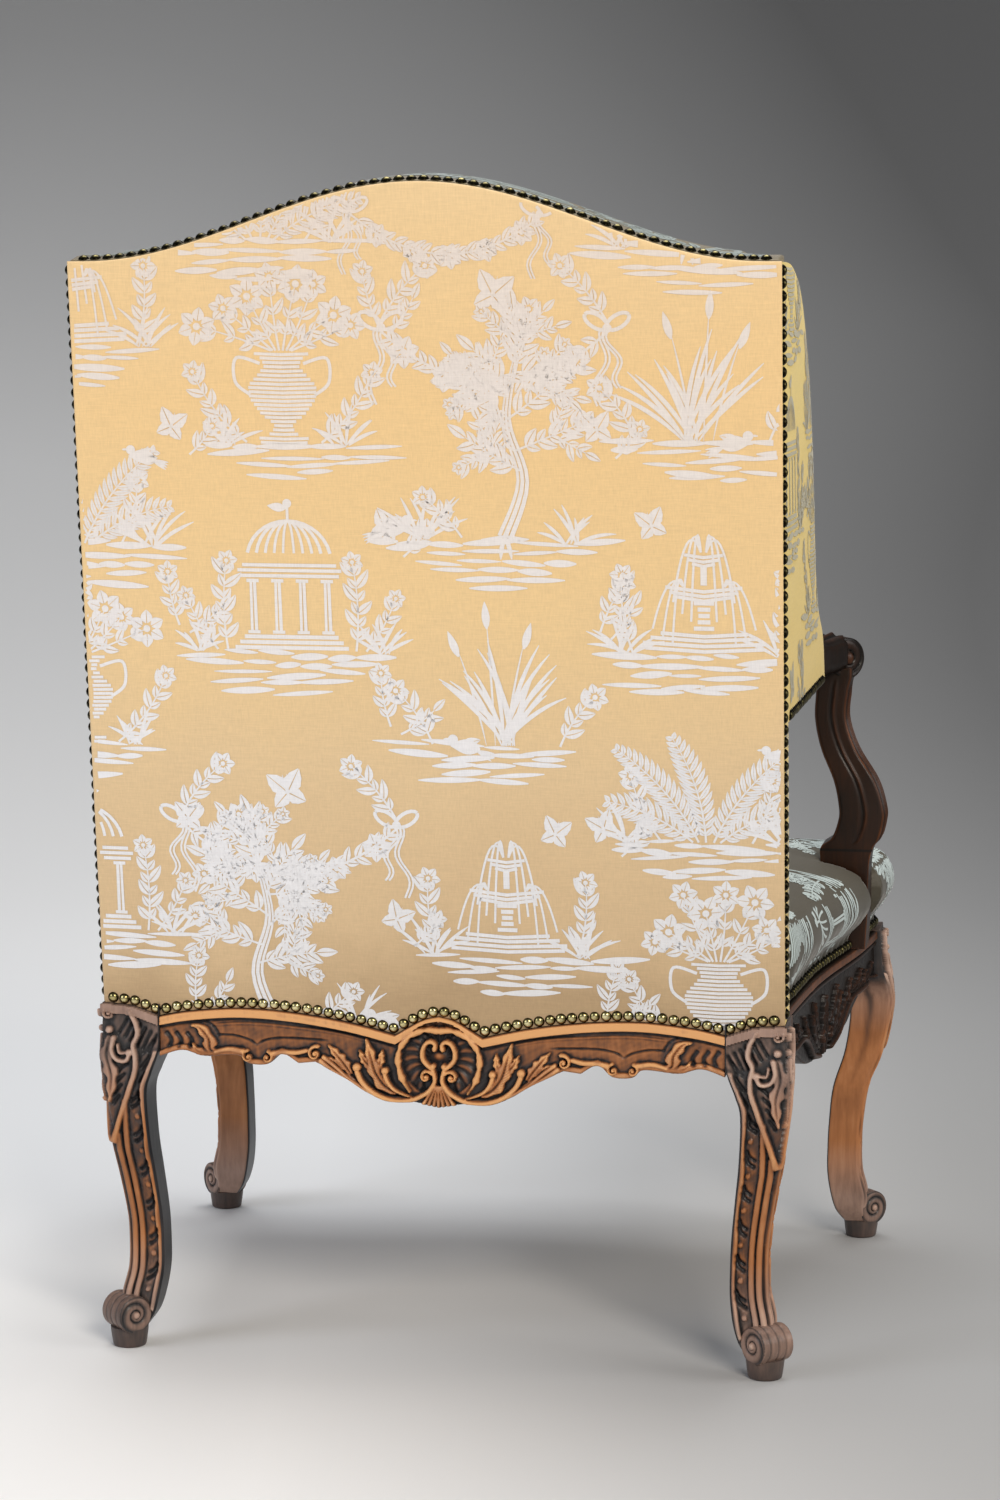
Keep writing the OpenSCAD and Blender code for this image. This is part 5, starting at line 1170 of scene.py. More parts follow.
inner_edge = drawn_in(wing_edge, WING_MIDDLE, 3)
wing_foot = ARM_Z + ARM_H + 3
upper = inner_edge[(inner_edge[:, 1] > wing_foot) & (np.arange(len(inner_edge)) >= 9)]
rear_z = np.linspace(wing_foot + 2, SHOULDER - 22, 60)
wing_outline = resample(np.vstack([
    upper, np.stack([np.linspace(upper[-1, 0] + 2, back_y(wing_foot) - 50, 40), np.full(40, wing_foot)], 1),
    np.stack([back_y(rear_z) - 46.5, rear_z], 1)]), 6, closed=True)
wing_profile = [[0, 1, 0], [0, 1, 4.8], [-4, 1, 9.9], [0, .84, 13.8], [0, .68, 15.2], [0, .5, 16]]
wing_rings = dome_rings(wing_outline, WING_MIDDLE, wing_profile, 5)
wing_rings[..., 2] += soft_noise(wing_rings, 50, 0.4) * unit(wing_rings[..., 2] / 8)
wing_grid = np.stack([317.2 - wing_rings[..., 2], wing_rings[..., 0], wing_rings[..., 1]], -1)
for side, name in SIDES:
    padded_piece("inside_wing_" + name, wing_grid, inner_silk, side,
                 replaces=("inside_wing_cover_" + name, "wing_stuffing_" + name))

# Padded border over the top of the back, narrower where the wings begin
bx = np.concatenate([np.linspace(-338.7, -330, 6), np.linspace(-328, 328, 260), np.linspace(330, 338.7, 6)])
loops = []
for x in bx:
    k = unit((306 - abs(x)) / 8)
    k = k * k * (3 - 2 * k)
    depth = 39.4 + 18.1 * k
    top = crest_h(x)
    loop, nrm = rounded_loop(-2.3 - depth, -2.3, top - 7.7, top + 1, 2.2, (24, 5, 24, 5), 5)
    crown = np.where(nrm[:, 1] > 0.6, 1.3 * np.abs(np.sin(np.pi * (-2.3 - loop[:, 0]) / depth)) ** 0.6, 0)
    end = unit((338.9 - abs(x)) / 4)
    drop = 2.0 * (1 - math.sqrt(1 - (1 - end) ** 2))
    loop[:, 1] += crown - drop * (nrm[:, 1] > 0.3)
    loops.append(on_back(x, loop[:, 1], loop[:, 0]))
padded_piece("top_border", loops, inner_silk)


crest_all = np.vstack([crest_pts, [[BACK_INNER + 28, -2.5], [BACK_INNER + BLOCK, 0]]])


def cover_foot(x):
    """Height of the outside cover's lower edge, up the slope of the back."""
    return (np.interp(np.abs(x), crest_all[:, 0], crest_all[:, 1]) + 0.6) / math.cos(LEAN)


def back_surface(x, h):
    """How far the outside cover stands out: a slight fullness, and a few soft ripples below the crest."""
    lo, hi = cover_foot(x), crest_h(x)
    e = unit(np.minimum(np.minimum(h - lo, hi - h), BACK_HALF - np.abs(x)) / 60)
    e = e * (2 - e)
    r = 1.6 * e + 0.45 * e * np.sin(h / 17 + 0.006 * x + 1.2 * np.sin(x / 130)) * unit((h - 560) / 160)
    r += 0.35 * e * np.sin(x / 38 + h / 95)
    near = unit(1 - (h - lo) / 22)
    r -= 0.30 * near * (0.5 + 0.5 * np.cos(x * 2 * np.pi / NAIL_PITCH))
    side = BACK_HALF - np.abs(x)
    r -= rounded_off(side, 2.0)
    r -= rounded_off(hi - h, 1.0)
    return r


gx = np.concatenate([-BACK_HALF + np.array([0.02, .3, .8, 1.5, 2.3, 3.4]), np.linspace(-336, 336, 330),
                     BACK_HALF - np.array([3.4, 2.3, 1.5, .8, .3, .02])])
t = np.concatenate([np.linspace(0, .02, 5), np.linspace(.025, .985, 190), [.99, .995, .998, 1]])
lo, hi = cover_foot(gx), crest_h(gx)
H = lo[:, None] + (hi - lo)[:, None] * t[None]
X = np.repeat(gx[:, None], H.shape[1], 1)
face = on_back(X, H, back_surface(X, H))
back = on_back(X[:, ::-8], H[:, ::-8], np.full_like(X[:, ::-8], -1.95))
piece = Piece("outside_back", np.concatenate([face, back], 1))
outside_back = piece.make(gold, "gold_silk", replaces=("outside_back_cover",))


def wing_out(y, z, y0, y1):
    """X of the outside of a wing, slightly full, and pulled in between the nails of the post."""
    e = unit(np.minimum(y0 - y, y - y1) / 50)
    e = e * unit((z - ARM_Z) / 40) * unit((SHOULDER - z) / 40)
    pull = 0.35 * unit(1 - (y0 - y) / 20) * (0.5 + 0.5 * np.cos(z * 2 * np.pi / EDGE_PITCH))
    return 341 + 1.5 * e * (2 - e) + 0.3 * e * np.sin(z / 31 + y / 60) - pull


def wing_slab(name):
    """The outside cover of a wing, rounded over the wing's front edge."""
    rows = []
    for y1, z in wing_edge:
        y0 = back_y(z) - 2 / math.cos(LEAN)
        y1 = min(y1, y0 - 0.6)
        s = np.linspace(0, 1, 70)
        y = y0 + (y1 - y0) * s
        out = wing_out(y, z, y0, y1)
        tip = rounded_off(y - y1, 1.6)
        back = np.linspace(1, 0, 14)
        rows.append(np.vstack([np.stack([out - tip, y, np.full(70, z)], 1),
                               np.stack([np.full(14, 339.25), y0 + (y1 - y0) * back, np.full(14, z)], 1)]))
    return Piece(name, rows)


def wing_roll(name):
    """The narrow border round the front edge of a wing, slightly rounded."""
    rows = []
    q = wing_edge
    d = np.gradient(q, axis=0)
    nrm = np.stack([d[:, 1], -d[:, 0]], 1)
    nrm = directions(nrm)
    nrm *= np.sign((nrm * (q - WING_MIDDLE)).sum(1))[:, None]
    for k in range(20, len(q)):
        if q[k, 1] < ARM_Z + ARM_H + 1:
            break
        u = np.linspace(-1, 1, 15)
        x = 328.1 + 10.8 * u
        out = 1.9 * (1 - u**4) - 0.9
        ring = np.stack([x, q[k, 0] + nrm[k, 0] * out, q[k, 1] + nrm[k, 1] * out], 1)
        back = np.stack([x[::-1], q[k, 0] - nrm[k, 0] * 1.6 + 0 * x, q[k, 1] - nrm[k, 1] * 1.6 + 0 * x], 1)
        rows.append(np.vstack([ring, back]))
    return Piece(name, rows)


def post_strip(name):
    """The cloth round the outer and front side of a post, below the wing."""
    rows = []
    loop = np.array([
        (341, -2.4), (341.1, -12), (341.1, -22), (341.1, -32), (341, -41.5), (340.4, -43.4),
        (338.5, -44), (330, -44.1), (320, -44.1), (309.3, -44), (309.3, -42.2), (320, -42.2),
        (338.2, -42.2), (339.2, -41), (339.2, -20), (339.2, -2.4)])
    for h in np.linspace(0.5 / math.cos(LEAN), 295 / math.cos(LEAN), 60):
        g = on_back(loop[:, 0], h, loop[:, 1])
        g[:, 2] = np.maximum(g[:, 2], RAIL_TOP + 0.4)
        rows.append(g)
    return Piece(name, rows)


wing_sheets, post_sheets = {}, {}
for side, name in SIDES:
    wing_sheets[name] = wing_slab("outside_wing_" + name).make(
        lit_wing_gold, "gold_silk", side, replaces=("outside_wing_cover_" + name,))
    ob = wing_roll("wing_border_" + name).make(inner_silk, "seat_silk", side)
    post_sheets[name] = post_strip("post_cover_" + name).make(lit_wing_gold, "gold_silk", side)


# Webbing and hessian under the seat and in the back
WEB_WIDTH, WEB_THICK = 50, 1.6


def strip(piece, line, across):
    """A band of webbing along a line."""
    line, across = np.asarray(line, float), np.asarray(across, float)
    run = np.gradient(line, axis=0)
    nrm = np.cross(run, across)
    nrm = directions(nrm)
    u = np.linspace(-0.5, 0.5, 9)
    top = line[:, None] + across * (u * WEB_WIDTH)[None, :, None] + nrm[:, None] * WEB_THICK / 2
    under = line[:, None] + across * (u[::-1] * WEB_WIDTH)[None, :, None] - nrm[:, None] * WEB_THICK / 2
    piece.tube(np.concatenate([top, under], 1))


# bands cross over and under each other, and sag a little under the stuffing
ACROSS_STEP, ALONG_STEP, BACK_STEP = 95.0, 92.5, 140.0
piece = Piece("seat_webbing")
for i in range(-2, 3):
    x = i * ACROSS_STEP
    y = np.linspace(-26, bow_y(abs(x) + 25) + 22.5, 90)
    s = np.sin(np.pi * (y - y[0]) / (y[-1] - y[0]))
    z = RAIL_TOP + 1 - 5 * s**0.7 + 0.9 * np.sin(y * np.pi / ALONG_STEP + i * np.pi)
    strip(piece, np.stack([0 * y + x, y, z], 1), (1, 0, 0))
for k, yc in enumerate([seat_rear - 45 - ALONG_STEP * i for i in range(4)] + [-505.0]):
    reach = float(side_x(yc)) - 22.5
    x = np.linspace(-reach, reach, 110)
    s = np.cos(np.pi * x / (2 * reach))
    z = RAIL_TOP + 1 - 5 * np.abs(s) ** 0.7 + 0.9 * np.sin(x * np.pi / ACROSS_STEP + (k + 0.5) * np.pi)
    strip(piece, np.stack([x, 0 * x + yc, z], 1), (0, 1, 0))
ob = piece.make(jute, "webbing")

piece = Piece("back_webbing")
for i in (-1, 0, 1):
    h = np.linspace(102, SHOULDER_H + 58 * (1 if i == 0 else 0.55), 90)
    s = np.sin(np.pi * (h - h[0]) / (h[-1] - h[0]))
    out = -43 + 0 * h - 0.8 * s * np.sin(h * np.pi / BACK_STEP)
    strip(piece, on_back(i * 160.0, h, out), (1, 0, 0))
for i in range(4):
    x = np.linspace(-308, 308, 90)
    out = -43 - 0.8 * np.sin(x * np.pi / 160) * unit((300 - np.abs(x)) / 60)
    strip(piece, on_back(x, 96 + 115 + i * BACK_STEP, out), up_dir)
ob = piece.make(jute, "webbing")


def hessian_sheet(name, outline, middle, place, low, high, sag, side=1):
    """A stretched sheet of hessian between two levels; place turns outline points and a level to points."""
    c = np.asarray(middle, float)
    o = np.asarray(outline, float)[:, :2]
    scales = np.array([1, .985, .9, .8, .7, .6, .5, .4, .3, .2, .1, .02])
    top = [place(c + (o - c) * s, high - sag * (1 - s * s)) for s in scales[::-1]]
    under = [place(c + (o - c) * s, low - sag * (1 - s * s)) for s in scales]
    ob = Piece(name, top + under).make(hessian, "hessian", side)


seat_cloth = pulled(seat_outline[:, :2], np.array(SEAT_MIDDLE), 1, np.full((len(seat_outline), 1), -8.0))
hessian_sheet("seat_hessian", seat_cloth, SEAT_MIDDLE,
              lambda q, z: clear_of_support(np.column_stack([q, np.full(len(q), z)]), 1.5),
              RAIL_TOP + 2.1, RAIL_TOP + 3.4, 3.2)
hessian_sheet("back_hessian", drawn_in(pad_outline, PAD_MIDDLE, 4), PAD_MIDDLE,
              lambda q, z: on_back(q[:, 0], q[:, 1], -z),
              45.3, 44.1, 0)
for side, name in SIDES:
    hessian_sheet("wing_hessian_" + name, wing_outline + (WING_MIDDLE - wing_outline) * 0.004, WING_MIDDLE,
                  lambda q, x: np.stack([np.full(len(q), x), q[:, 0], q[:, 1]], 1),
                  318.9, 317.6, 0, side)

# Nails: radius, height and tone, from the crown of a head to its rim: rubbed wear, with a painted highlight
# on the crown and painted shade towards the rim
NAIL = [(0.02, 3.7, .92), (1.8, 3.46, .88), (3.2, 2.82, .72), (4.25, 1.94, .44), (5.0, 0.98, .20),
        (5.35, 0.42, .08), (5.5, 0.28, .10), (5.5, -0.4, .05)]
NAIL_LIFT, NAIL_ROW = 6.3, -7.6


def steps(f, x, end, pitch):
    """Places at even steps along a curve f, from x to end."""
    out = []
    while x <= end:
        out.append(x)
        s = (f(x + pitch / 2 + 5) - f(x + pitch / 2 - 5)) / 10
        x += pitch / math.sqrt(1 + s * s)
    return out


def nails(name, places, dull=0.0):
    """A row of nails at places with their directions, each hammered in by hand; dull darkens every head as
    painted shade.
    """
    p = Piece(name)
    a = np.linspace(0, 2 * np.pi, 19)[:-1]
    for where, normal in places:
        n = np.asarray(normal, float)
        n = directions(n)
        n = n + rng.normal(0, 0.035, 3)
        n = directions(n)
        u = np.cross(n, (0.3, 0.5, 0.81))
        u = directions(u)
        w = np.cross(n, u)
        c = np.asarray(where, float) + rng.normal(0, 0.16, 3)
        size = 1 + rng.normal(0, 0.012)
        wear_and_painted_light = rng.normal(0, 0.06) - dull
        spokes = [math.cos(b) * u + math.sin(b) * w for b in a]
        head = [[c + size * r * spoke + n * size * h for spoke in spokes] for r, h, _ in NAIL]
        p.grid(head, np.repeat(np.array([[q[2] + wear_and_painted_light] for q in NAIL]), len(a), 1), wrap_v=True)
    p.make(brass_nail, "antique_brass_nail")


def both(places):
    """The places and their mirror images."""
    return places + [(np.array(w) * [-1, 1, 1], np.array(n) * [-1, 1, 1]) for w, n in places]


def edge_h(x):
    """Height of the carved rail's upper edge."""
    return float(np.interp(abs(x), crest_all[:, 0], crest_all[:, 1]))


places = []
for x in steps(edge_h, NAIL_PITCH / 2, BACK_HALF - 5, NAIL_PITCH):
    h = edge_h(x) + NAIL_LIFT
    places.append((on_back(x, h, float(back_surface(x, h)) + 0.1), out_dir))
nails("back_rail_nails", both(places))
# the nails of the posts, the crest and the wings, and those on the seat's sides, are darkened by their last
# argument: painted shade
count = int((SHOULDER_H - 16) // EDGE_PITCH) + 1
for side, name in SIDES:
    places = [(on_back(side * 341.2, 10 + i * EDGE_PITCH, NAIL_ROW), (side, 0, 0)) for i in range(count)]
    nails("post_nails_" + name, places, 0.34)
places = []
for x in steps(lambda q: float(crest_h(q)), EDGE_PITCH / 2, POST_OUTER - 6, EDGE_PITCH):
    s = float(crest_h(x + 5) - crest_h(x - 5)) / 10
    n = np.array([-s, 0, 0]) + up_dir
    places.append((on_back(x, crest_h(x) + 1.7, NAIL_ROW), n))
nails("crest_nails", both(places), 0.36)
rear = back_y(ARM_Z) - 2 - 40 - 8
count = int((WING_REACH - 40 - 2 - 40) // EDGE_PITCH) + 1
places = [((341.2, rear - i * EDGE_PITCH, ARM_Z + NAIL_LIFT), (1, 0, 0)) for i in range(count)]
nails("wing_nails", both(places), 0.34)
run = run_along(seat_half)
front, sides = [], []
for s in np.arange(EDGE_PITCH / 2, run[-1], EDGE_PITCH):
    q = np.array([np.interp(s, run, seat_half[:, k]) for k in (0, 1)])
    q2 = np.array([np.interp(s + 2, run, seat_half[:, k]) for k in (0, 1)])
    d = directions(q2 - q)
    n = np.array([d[1], -d[0], 0])
    if n[:2] @ (q - np.array(SEAT_MIDDLE)) < 0:
        n = -n
    if abs(q[1] - SUPPORT_Y) > 20 + 10.6 and q[1] < seat_rear - 20:
        row = front if q[1] <= corner_y + 20 else sides
        row.append((np.array([q[0], q[1], RAIL_TOP + NAIL_LIFT]) + n, n))
nails("seat_front_nails", both(front))
# the seat's side nails are darkened: painted shade
nails("seat_side_nails", both(sides), 0.36)


# Woven figure: islets with trees, vases, ferns and garlands
def at_angle(x, y, r, angle):
    """The point at a distance r from x and y, at an angle in degrees."""
    return x + r * math.cos(math.radians(angle)), y + r * math.sin(math.radians(angle))


class Figure:
    """Flat shapes of the woven figure, in millimetres on the cloth: each is a band between two lines."""

    def __init__(self, seed):
        self.bands, self.r = [], np.random.default_rng(seed)

    def band(self, line, width):
        """A band of even or changing width along a line."""
        line = np.asarray(line, float)
        d = np.gradient(line, axis=0)
        d /= np.maximum(np.linalg.norm(d, axis=1, keepdims=True), 1e-6)
        w = np.broadcast_to(np.asarray(width, float), (len(line),))[:, None] / 2
        n = np.stack([-d[:, 1], d[:, 0]], 1) * w
        self.bands.append(np.stack([line + n, line - n], 1))

    def curve(self, x, y, length, angle, bend, n=9):
        """A line that starts at an angle in degrees and bends evenly."""
        a = np.radians(angle + bend * np.linspace(0, 1, n))
        step = np.stack([np.cos(a), np.sin(a)], 1) * length / (n - 1)
        return np.array([x, y]) + np.vstack([[0, 0], np.cumsum(0.5 * (step[1:] + step[:-1]), axis=0)])

    def bars(self, sizes, width, sag=0):
        """Level bars with their half lengths and heights, which may sag in the middle."""
        for half, y in sizes:
            self.band([(-half, y), (0, y - sag), (half, y)] if sag else [(-half, y), (half, y)], width)

    def stroke(self, x, y, length, angle, width, bend=0):
        """A single bent stroke, thin at both ends. Gives its tip."""
        p = self.curve(x, y, length, angle, bend)
        self.band(p, width * np.sin(np.pi * np.linspace(0.04, 0.97, len(p))) ** 0.7)
        return p[-1]

    def leaf(self, x, y, length, angle, width, bend=0.0, gap=0.9, teeth=0.0, n=8):
        """A leaf in two halves, with a gap between them for its vein."""
        p = self.curve(x, y, length, angle, bend, n)
        t = np.linspace(0, 1, n)
        a = np.radians(angle + bend * t)
        nrm = np.stack([-np.sin(a), np.cos(a)], 1)
        w = 0.5 * width * np.sin(np.pi * np.clip(t, 0.02, 0.985) ** 0.8) ** 0.85
        w *= 1 + teeth * (np.arange(n) % 2 - 0.5)
        g = 0.5 * gap * (1 - 0.6 * t)
        for s in (-1, 1):
            self.bands.append(np.stack([p + nrm * (s * g)[:, None], p + nrm * (s * (g + w))[:, None]], 1))

    def disc(self, x, y, r):
        """A round dot."""
        u = np.cos(np.linspace(np.pi, 0, 11))
        h = np.sqrt(unit(1 - u * u))
        self.bands.append(np.stack([np.stack([x + r * u, y + r * s * h], 1) for s in (1, -1)], 1))

    def flower(self, x, y, r, petals, turn):
        """Petals round a dot."""
        for k in range(petals):
            a = turn + 360 * k / petals
            self.leaf(*at_angle(x, y, 0.30 * r, a), 0.72 * r, a, 0.62 * r, gap=0.6, n=7)
        self.disc(x, y, 0.19 * r)

    def spray(self, x, y, length, angle, bend, leaves, size, bloom=0):
        """A twig with leaves on both sides, and a flower at its tip if bloom is its radius."""
        p = self.curve(x, y, length, angle, bend, 2 * leaves + 3)
        self.band(p, np.linspace(1.9, 0.8, len(p)))
        for k in range(1, leaves + 1):
            a = angle + bend * (2 * k) / (2 * leaves + 2)
            s = 1 if k % 2 else -1
            j = self.r.uniform(-9, 9)
            self.leaf(*p[2 * k], size * self.r.uniform(0.85, 1.15), a + s * 52 + j, size * 0.42, bend=-s * 24)
            if size > 9:
                self.leaf(*p[2 * k], 0.66 * size, a - s * 44 + j, size * 0.32, bend=s * 20)
        if bloom:
            self.flower(*p[-1], bloom, 6, self.r.uniform(0, 60))
        else:
            self.leaf(*p[-1], size, angle + bend, size * 0.42)
        return p[-1]

    def fern(self, x, y, length, angle, bend, size):
        """A frond with narrow leaves, longest in the middle."""
        n = int(length / 5.4)
        p = self.curve(x, y, length, angle, bend, n)
        self.band(p, np.linspace(1.8, 0.7, n))
        for k in range(1, n):
            t = k / n
            w = size * math.sin(math.pi * (0.12 + 0.86 * t)) ** 0.7
            for s in (-1, 1):
                self.leaf(*p[k], w, angle + bend * t + s * 58, 0.24 * size, bend=-s * 26, gap=0.3, n=5)

    def grass(self, x, y, height, count, width=3.0, spread=62):
        """A tuft of blades that bend outwards."""
        for k in range(count):
            a = 90 + spread * (2 * (k + 0.5) / count - 1) + self.r.uniform(-6, 6)
            foot, length = x + self.r.uniform(-6, 6), height * self.r.uniform(0.6, 1.0)
            self.stroke(foot, y, length, a, width, bend=self.r.uniform(10, 34) * np.sign(a - 90))

    def ground(self, x, y, width, rows, drop=7.0):
        """Broken level strokes, longest at the top, as an islet has."""
        for k in range(rows):
            w = width * (1 - 0.17 * k) * self.r.uniform(0.9, 1.05)
            u = -w / 2 + self.r.uniform(-9, 9)
            while u < w / 2:
                step = self.r.uniform(20, 52)
                level = y - k * drop + self.r.uniform(-1.8, 1.8)
                self.stroke(x + u, level, step, self.r.uniform(-5, 5), self.r.uniform(3.0, 6.2))
                u += step * self.r.uniform(0.84, 1.02)

    def tree(self, x, y, height, lean=12, bloom=10):
        """A trunk in three strands with roots, and boughs with sprays and flowers."""
        trunk = smooth([(x, y), (x + 0.10 * height, y + 0.3 * height), (x + 0.02 * height, y + 0.62 * height),
                        (x + lean, y + 0.95 * height)], 6)
        t = np.linspace(0, 1, len(trunk))
        wide = height * (0.085 - 0.055 * t)
        d = directions(np.gradient(trunk, axis=0))
        n = np.stack([-d[:, 1], d[:, 0]], 1)
        for s, share in ((-0.36, 0.30), (0.02, 0.30), (0.38, 0.24)):
            self.band(trunk + n * (s * wide)[:, None], share * wide)
        for a, bend in ((205, -30), (250, 18), (292, -14), (338, 28)):
            self.stroke(x, y + 2, 0.13 * height, a, 3.6, bend)
        # boughs: where each leaves the trunk, its angle and its share of the height
        boughs = ((0.42, 158, .34), (0.50, 18, .40), (0.64, 140, .38), (0.72, 34, .42), (0.82, 116, .30),
                  (0.90, 62, .34), (0.97, 92, .28), (0.80, 178, .34), (0.92, 4, .32))
        for k, (at, angle, length) in enumerate(boughs):
            q = trunk[int(at * (len(trunk) - 1))]
            turn, bend = angle + self.r.uniform(-8, 8), self.r.uniform(-26, 26)
            end = self.spray(*q, length * height, turn, bend, 5, 0.115 * height, bloom if k % 2 else 0)
            for s in (-1, 1):
                m = 0.5 * (q + end) + self.r.uniform(-3, 3, 2)
                small = 0.6 * bloom if s > 0 else 0
                self.spray(*m, 0.20 * height, angle + 46 * s, 0, 3, 0.085 * height, small)

    def vase(self, x, y, h):
        """A vase in level bars, with two handles and flowers. Its sizes are shares of its height."""
        height, radius = np.transpose([
            (0, .26), (.06, .28), (.10, .13), (.20, .10), (.30, .24), (.48, .37),
            (.62, .38), (.74, .27), (.84, .19), (.92, .24), (.98, .32)])
        for a in np.arange(0.0, 0.985, 0.046):
            r = h * np.interp(a, height, radius)
            self.band([(x - r, y + a * h), (x, y + a * h - 0.035 * r), (x + r, y + a * h)], h * 0.033)
        for s in (-1, 1):
            handle = np.array([(s * .24, .86), (s * .50, .92), (s * .52, .66), (s * .36, .52)])
            self.band(smooth([x, y] + handle * h, 6), 2.6)
        for k, a in enumerate(np.linspace(22, 158, 8)):
            length, bend = h * self.r.uniform(.55, .9), self.r.uniform(-14, 14)
            foot = x + 0.12 * h * math.cos(math.radians(a))
            self.spray(foot, y + h, length, a, bend, 3, 0.19 * h, 0.16 * h * (1 + k % 2 * 0.3))

    def garland(self, x0, y0, x1, y1, sag, size=13):
        """A hanging chain of leaves and flowers, with a bow at each end."""
        u = np.linspace(0, 1, 22)
        p = np.stack([x0 + (x1 - x0) * u, y0 + (y1 - y0) * u - sag * 4 * u * (1 - u)], 1)
        self.band(p, 2.0)
        d = np.degrees(np.arctan2(*np.gradient(p, axis=0).T[::-1]))
        for k in range(1, len(p) - 1):
            for s in (-1, 1):
                length, turn = size * self.r.uniform(.8, 1.15), s * self.r.uniform(34, 62)
                self.leaf(*p[k], length, d[k] + turn, 0.42 * size, bend=-s * 18)
        for k in range(3, len(p) - 2, 4):
            self.flower(p[k, 0], p[k, 1] - 2, size * self.r.uniform(0.75, 1.0), 7, self.r.uniform(0, 50))
        for q in (p[0], p[-1]):
            self.bow(q[0], q[1] + 3)

    def bow(self, x, y, size=20):
        """A ribbon tied in a bow: two loops, a knot and two wavy ends."""
        w = np.linspace(0, 2 * np.pi, 17)
        long, short = 0.5 * size * np.cos(w), 0.25 * size * np.sin(w)
        for a in (32, 148):
            e = math.radians(a)
            middle = at_angle(x, y, 0.5 * size, a)
            loop = [long * math.cos(e) - short * math.sin(e), long * math.sin(e) + short * math.cos(e)]
            self.band(np.stack(loop, 1) + middle, 3.0)
        self.disc(x, y, 3.6)
        for k, (dx, length) in enumerate(((-7, 46), (6, 60))):
            v = np.linspace(0, 1, 15)
            line = np.stack([x + dx * v * 1.5 + 4 * np.sin(v * 9 + k), y - length * v], 1)
            self.band(line - [1.5, 0], 1.7 + 0 * v)
            self.band(line + [1.5, 0], 1.7 + 0 * v)

    def butterfly(self, x, y, size, angle):
        """Four wings, a body and two feelers."""
        for a, ln, w in ((52, 1.0, .62), (-38, .74, .55), (128, 1.0, .62), (218, .74, .55)):
            self.leaf(x, y, size * ln, angle + a, size * w, gap=1.0, teeth=0.1)
        self.stroke(*at_angle(x, y, -0.3 * size, angle + 90), 0.7 * size, angle + 90, 2.2)
        for s in (-1, 1):
            self.stroke(x, y + 0.2 * size, 0.5 * size, angle + 90 - s * 24, 0.9, bend=s * 30)

    def songbird(self, x, y, size, s):
        """A small bird that looks to the right for s = 1, or to the left for -1."""
        self.leaf(x - s * 0.5 * size, y, size, 90 - s * 72, 0.52 * size, bend=-s * 22, gap=0.0)
        self.disc(x + s * 0.40 * size, y + 0.34 * size, 0.17 * size)
        self.stroke(x + s * 0.52 * size, y + 0.36 * size, 0.20 * size, 90 - s * 94, 1.8)
        for k in range(4):
            self.stroke(x - s * 0.36 * size, y - 0.02 * size, 0.62 * size, 90 + s * (98 + 9 * k), 2.2)
        wing = x + s * 0.1 * size, y + 0.12 * size
        self.leaf(*wing, 0.66 * size, 90 + s * 60, 0.30 * size, bend=s * 20, gap=0.8)


def tree_islet(f):
    """A tree with a bird below it."""
    f.ground(0, 0, 196, 6)
    f.tree(14, 4, 150)
    f.grass(-52, 2, 46, 11)
    f.grass(66, 0, 34, 9)
    f.spray(-20, 4, 44, 124, 20, 4, 15, 9)
    f.songbird(-74, 8, 26, 1)


def fern_islet(f):
    """Five ferns between tufts."""
    f.ground(0, 0, 168, 5)
    for a, ln in ((140, 74), (116, 98), (92, 88), (66, 96), (40, 72)):
        f.fern(at_angle(2, 0, 14, a)[0], 2, ln, a, 30 * np.sign(a - 91), 17)
    f.grass(-58, 0, 38, 9)
    f.grass(62, 0, 42, 11)
    f.spray(-34, 2, 58, 126, -24, 5, 14, 10)
    f.spray(38, 2, 54, 60, 26, 5, 14, 10)
    f.songbird(58, 70, 22, -1)


def vase_islet(f):
    """A vase of flowers."""
    f.ground(0, -4, 136, 4)
    f.vase(0, 0, 72)
    f.grass(-44, -2, 30, 8)
    f.grass(46, -2, 34, 8)
    for s in (-1, 1):
        f.spray(s * 30, 0, 70, 90 - s * 52, s * 30, 6, 15, 9)


def garland_group(f):
    """A garland with sprays at its ends."""
    f.garland(-88, 6, 88, 6, 40)
    f.butterfly(0, 34, 22, 12)
    f.spray(-88, 14, 56, 62, -24, 5, 15, 10)
    f.spray(88, 14, 56, 118, 24, 5, 15, 10)
    f.spray(0, -48, 40, 250, 20, 4, 13)
    f.spray(0, -48, 40, 292, -20, 4, 13)


def reed_islet(f):
    """Tall reeds with heads."""
    f.ground(0, 0, 150, 5)
    f.grass(-8, 2, 92, 17, 3.6, 40)
    for x, h in ((-16, 84), (4, 98), (22, 78)):
        p = f.stroke(x * .4, 2, h, 90 - x * .5, 1.8, bend=-x * .4)
        f.leaf(p[0], p[1] - 4, 22, 90 - x, 6.5, gap=0.0)
    f.spray(52, 2, 52, 70, -28, 4, 16, 11)
    f.spray(-50, 2, 50, 112, 26, 4, 16, 11)
    f.songbird(26, -2, 24, 1)


